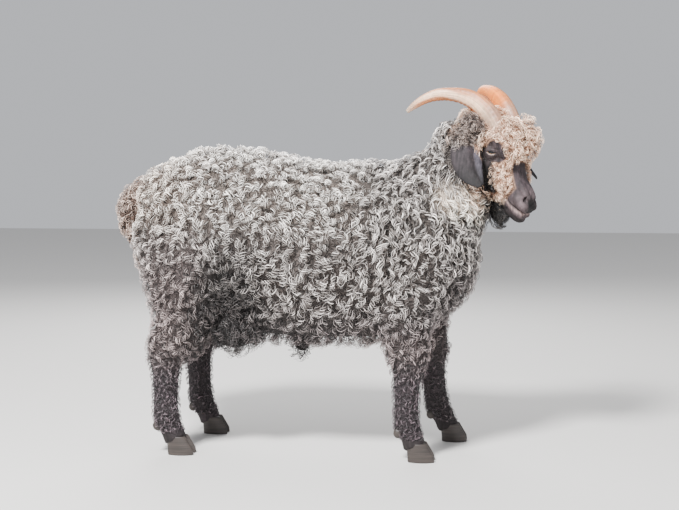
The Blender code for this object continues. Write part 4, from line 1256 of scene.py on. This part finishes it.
pieces = {}
for side, hand in ((-1, "right"), (1, "left")):
    pieces["horn_" + hand] = hornForm("horn" + hand.title(), side)
    pieces["eye_" + hand] = eyeForm("eye" + hand.title(), side)
for leg in body["footAhead"]:
    rows = np.array(legRows(leg))
    back = rowsAt(rows, np.array((0.86,)))[0][:3]
    for side, place in ((-1, "rightward"), (1, "leftward")):
        label, ending = snake(leg) + "_" + place, capital(leg) + place.title()
        pieces["claw_" + label] = clawForm("claw" + ending, rows[-1][:3], side)
        spot = Vector(back) + sided(claw["dewclawAt"], side)
        dewclaw = softened(ball("dewclaw" + ending, spot, claw["dewclaw"]))
        dewclaw.data.materials.append(hoofHorn)
        pieces["dewclaw_" + label] = dewclaw
print("horns, eyes and claws done")

flesh = ["torso", "neck", "head", "tail", "ear_left", "ear_right"]
flesh += [snake(leg).replace("_", "_leg_") + end for leg in body["footAhead"] for end in ("_upper", "_lower")]
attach(skin, "root")
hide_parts(*flesh)
for piece in coatPieces:
    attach(piece, "root")
for node, piece in pieces.items():
    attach(piece, "root")
    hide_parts(node)

studio = {"floor": "#d0cecb", "key": 380.0, "fill": 24.0, "rim": 100.0, "air": 0.65}  # lights in watts
# focal: in mm, on a sensor of 36; azimuth: degrees from straight at the right side; dip: slope of the look
view = {"focal": 64.5243, "azimuth": 8, "distance": 2.8, "height": 0.66, "aside": 0.035, "dip": 0.0755957}

floor = meshObject("floor", [(-9, -9, 0), (9, -9, 0), (9, 9, 0), (-9, 9, 0)], [(0, 1, 2, 3)], smooth=False)
floorLooks = {"Roughness": 0.9, "Base Color": (*hexToLinear(studio["floor"]), 1)}
floor.data.materials.append(newMaterial("studioFloorPaintMatt", floorLooks)[0])

world = bpy.data.worlds.new("studioAir")
world.use_nodes = True
air = {"Color": (0.93, 0.95, 1.0, 1), "Strength": studio["air"]}
setInputs(world.node_tree, world.node_tree.nodes["Background"], air)
bpy.context.scene.world = world


def aimed(obj, at, way):
    obj.location = at
    obj.rotation_mode = "QUATERNION"
    obj.rotation_quaternion = way.to_track_quat("-Z", "Y")


def areaLight(name, power, size, at, aim=(0, 0, 0.4)):
    light = bpy.data.lights.new(name, "AREA")
    light.energy = power
    light.size = size
    aimed(linked(name, light), at, Vector(aim) - Vector(at))


areaLight("keyLight", studio["key"], 0.6, (-0.7, -2.2, 2.8))
areaLight("fillLight", studio["fill"], 2.6, (2.6, -2.0, 1.6))
areaLight("rimLight", studio["rim"], 1.6, (-0.6, 2.4, 2.3))

angle = math.radians(view["azimuth"])
forward = Vector((-math.sin(angle), math.cos(angle), 0))
right = Vector((math.cos(angle), math.sin(angle), 0))
lens = bpy.data.cameras.new("camera")
lens.sensor_width = 36
lens.lens = view["focal"]
camera = linked("camera", lens)
at = right * view["aside"] - forward * view["distance"] + Vector((0, 0, view["height"]))
aimed(camera, at, forward - Vector((0, 0, view["dip"])))
bpy.context.scene.camera = camera
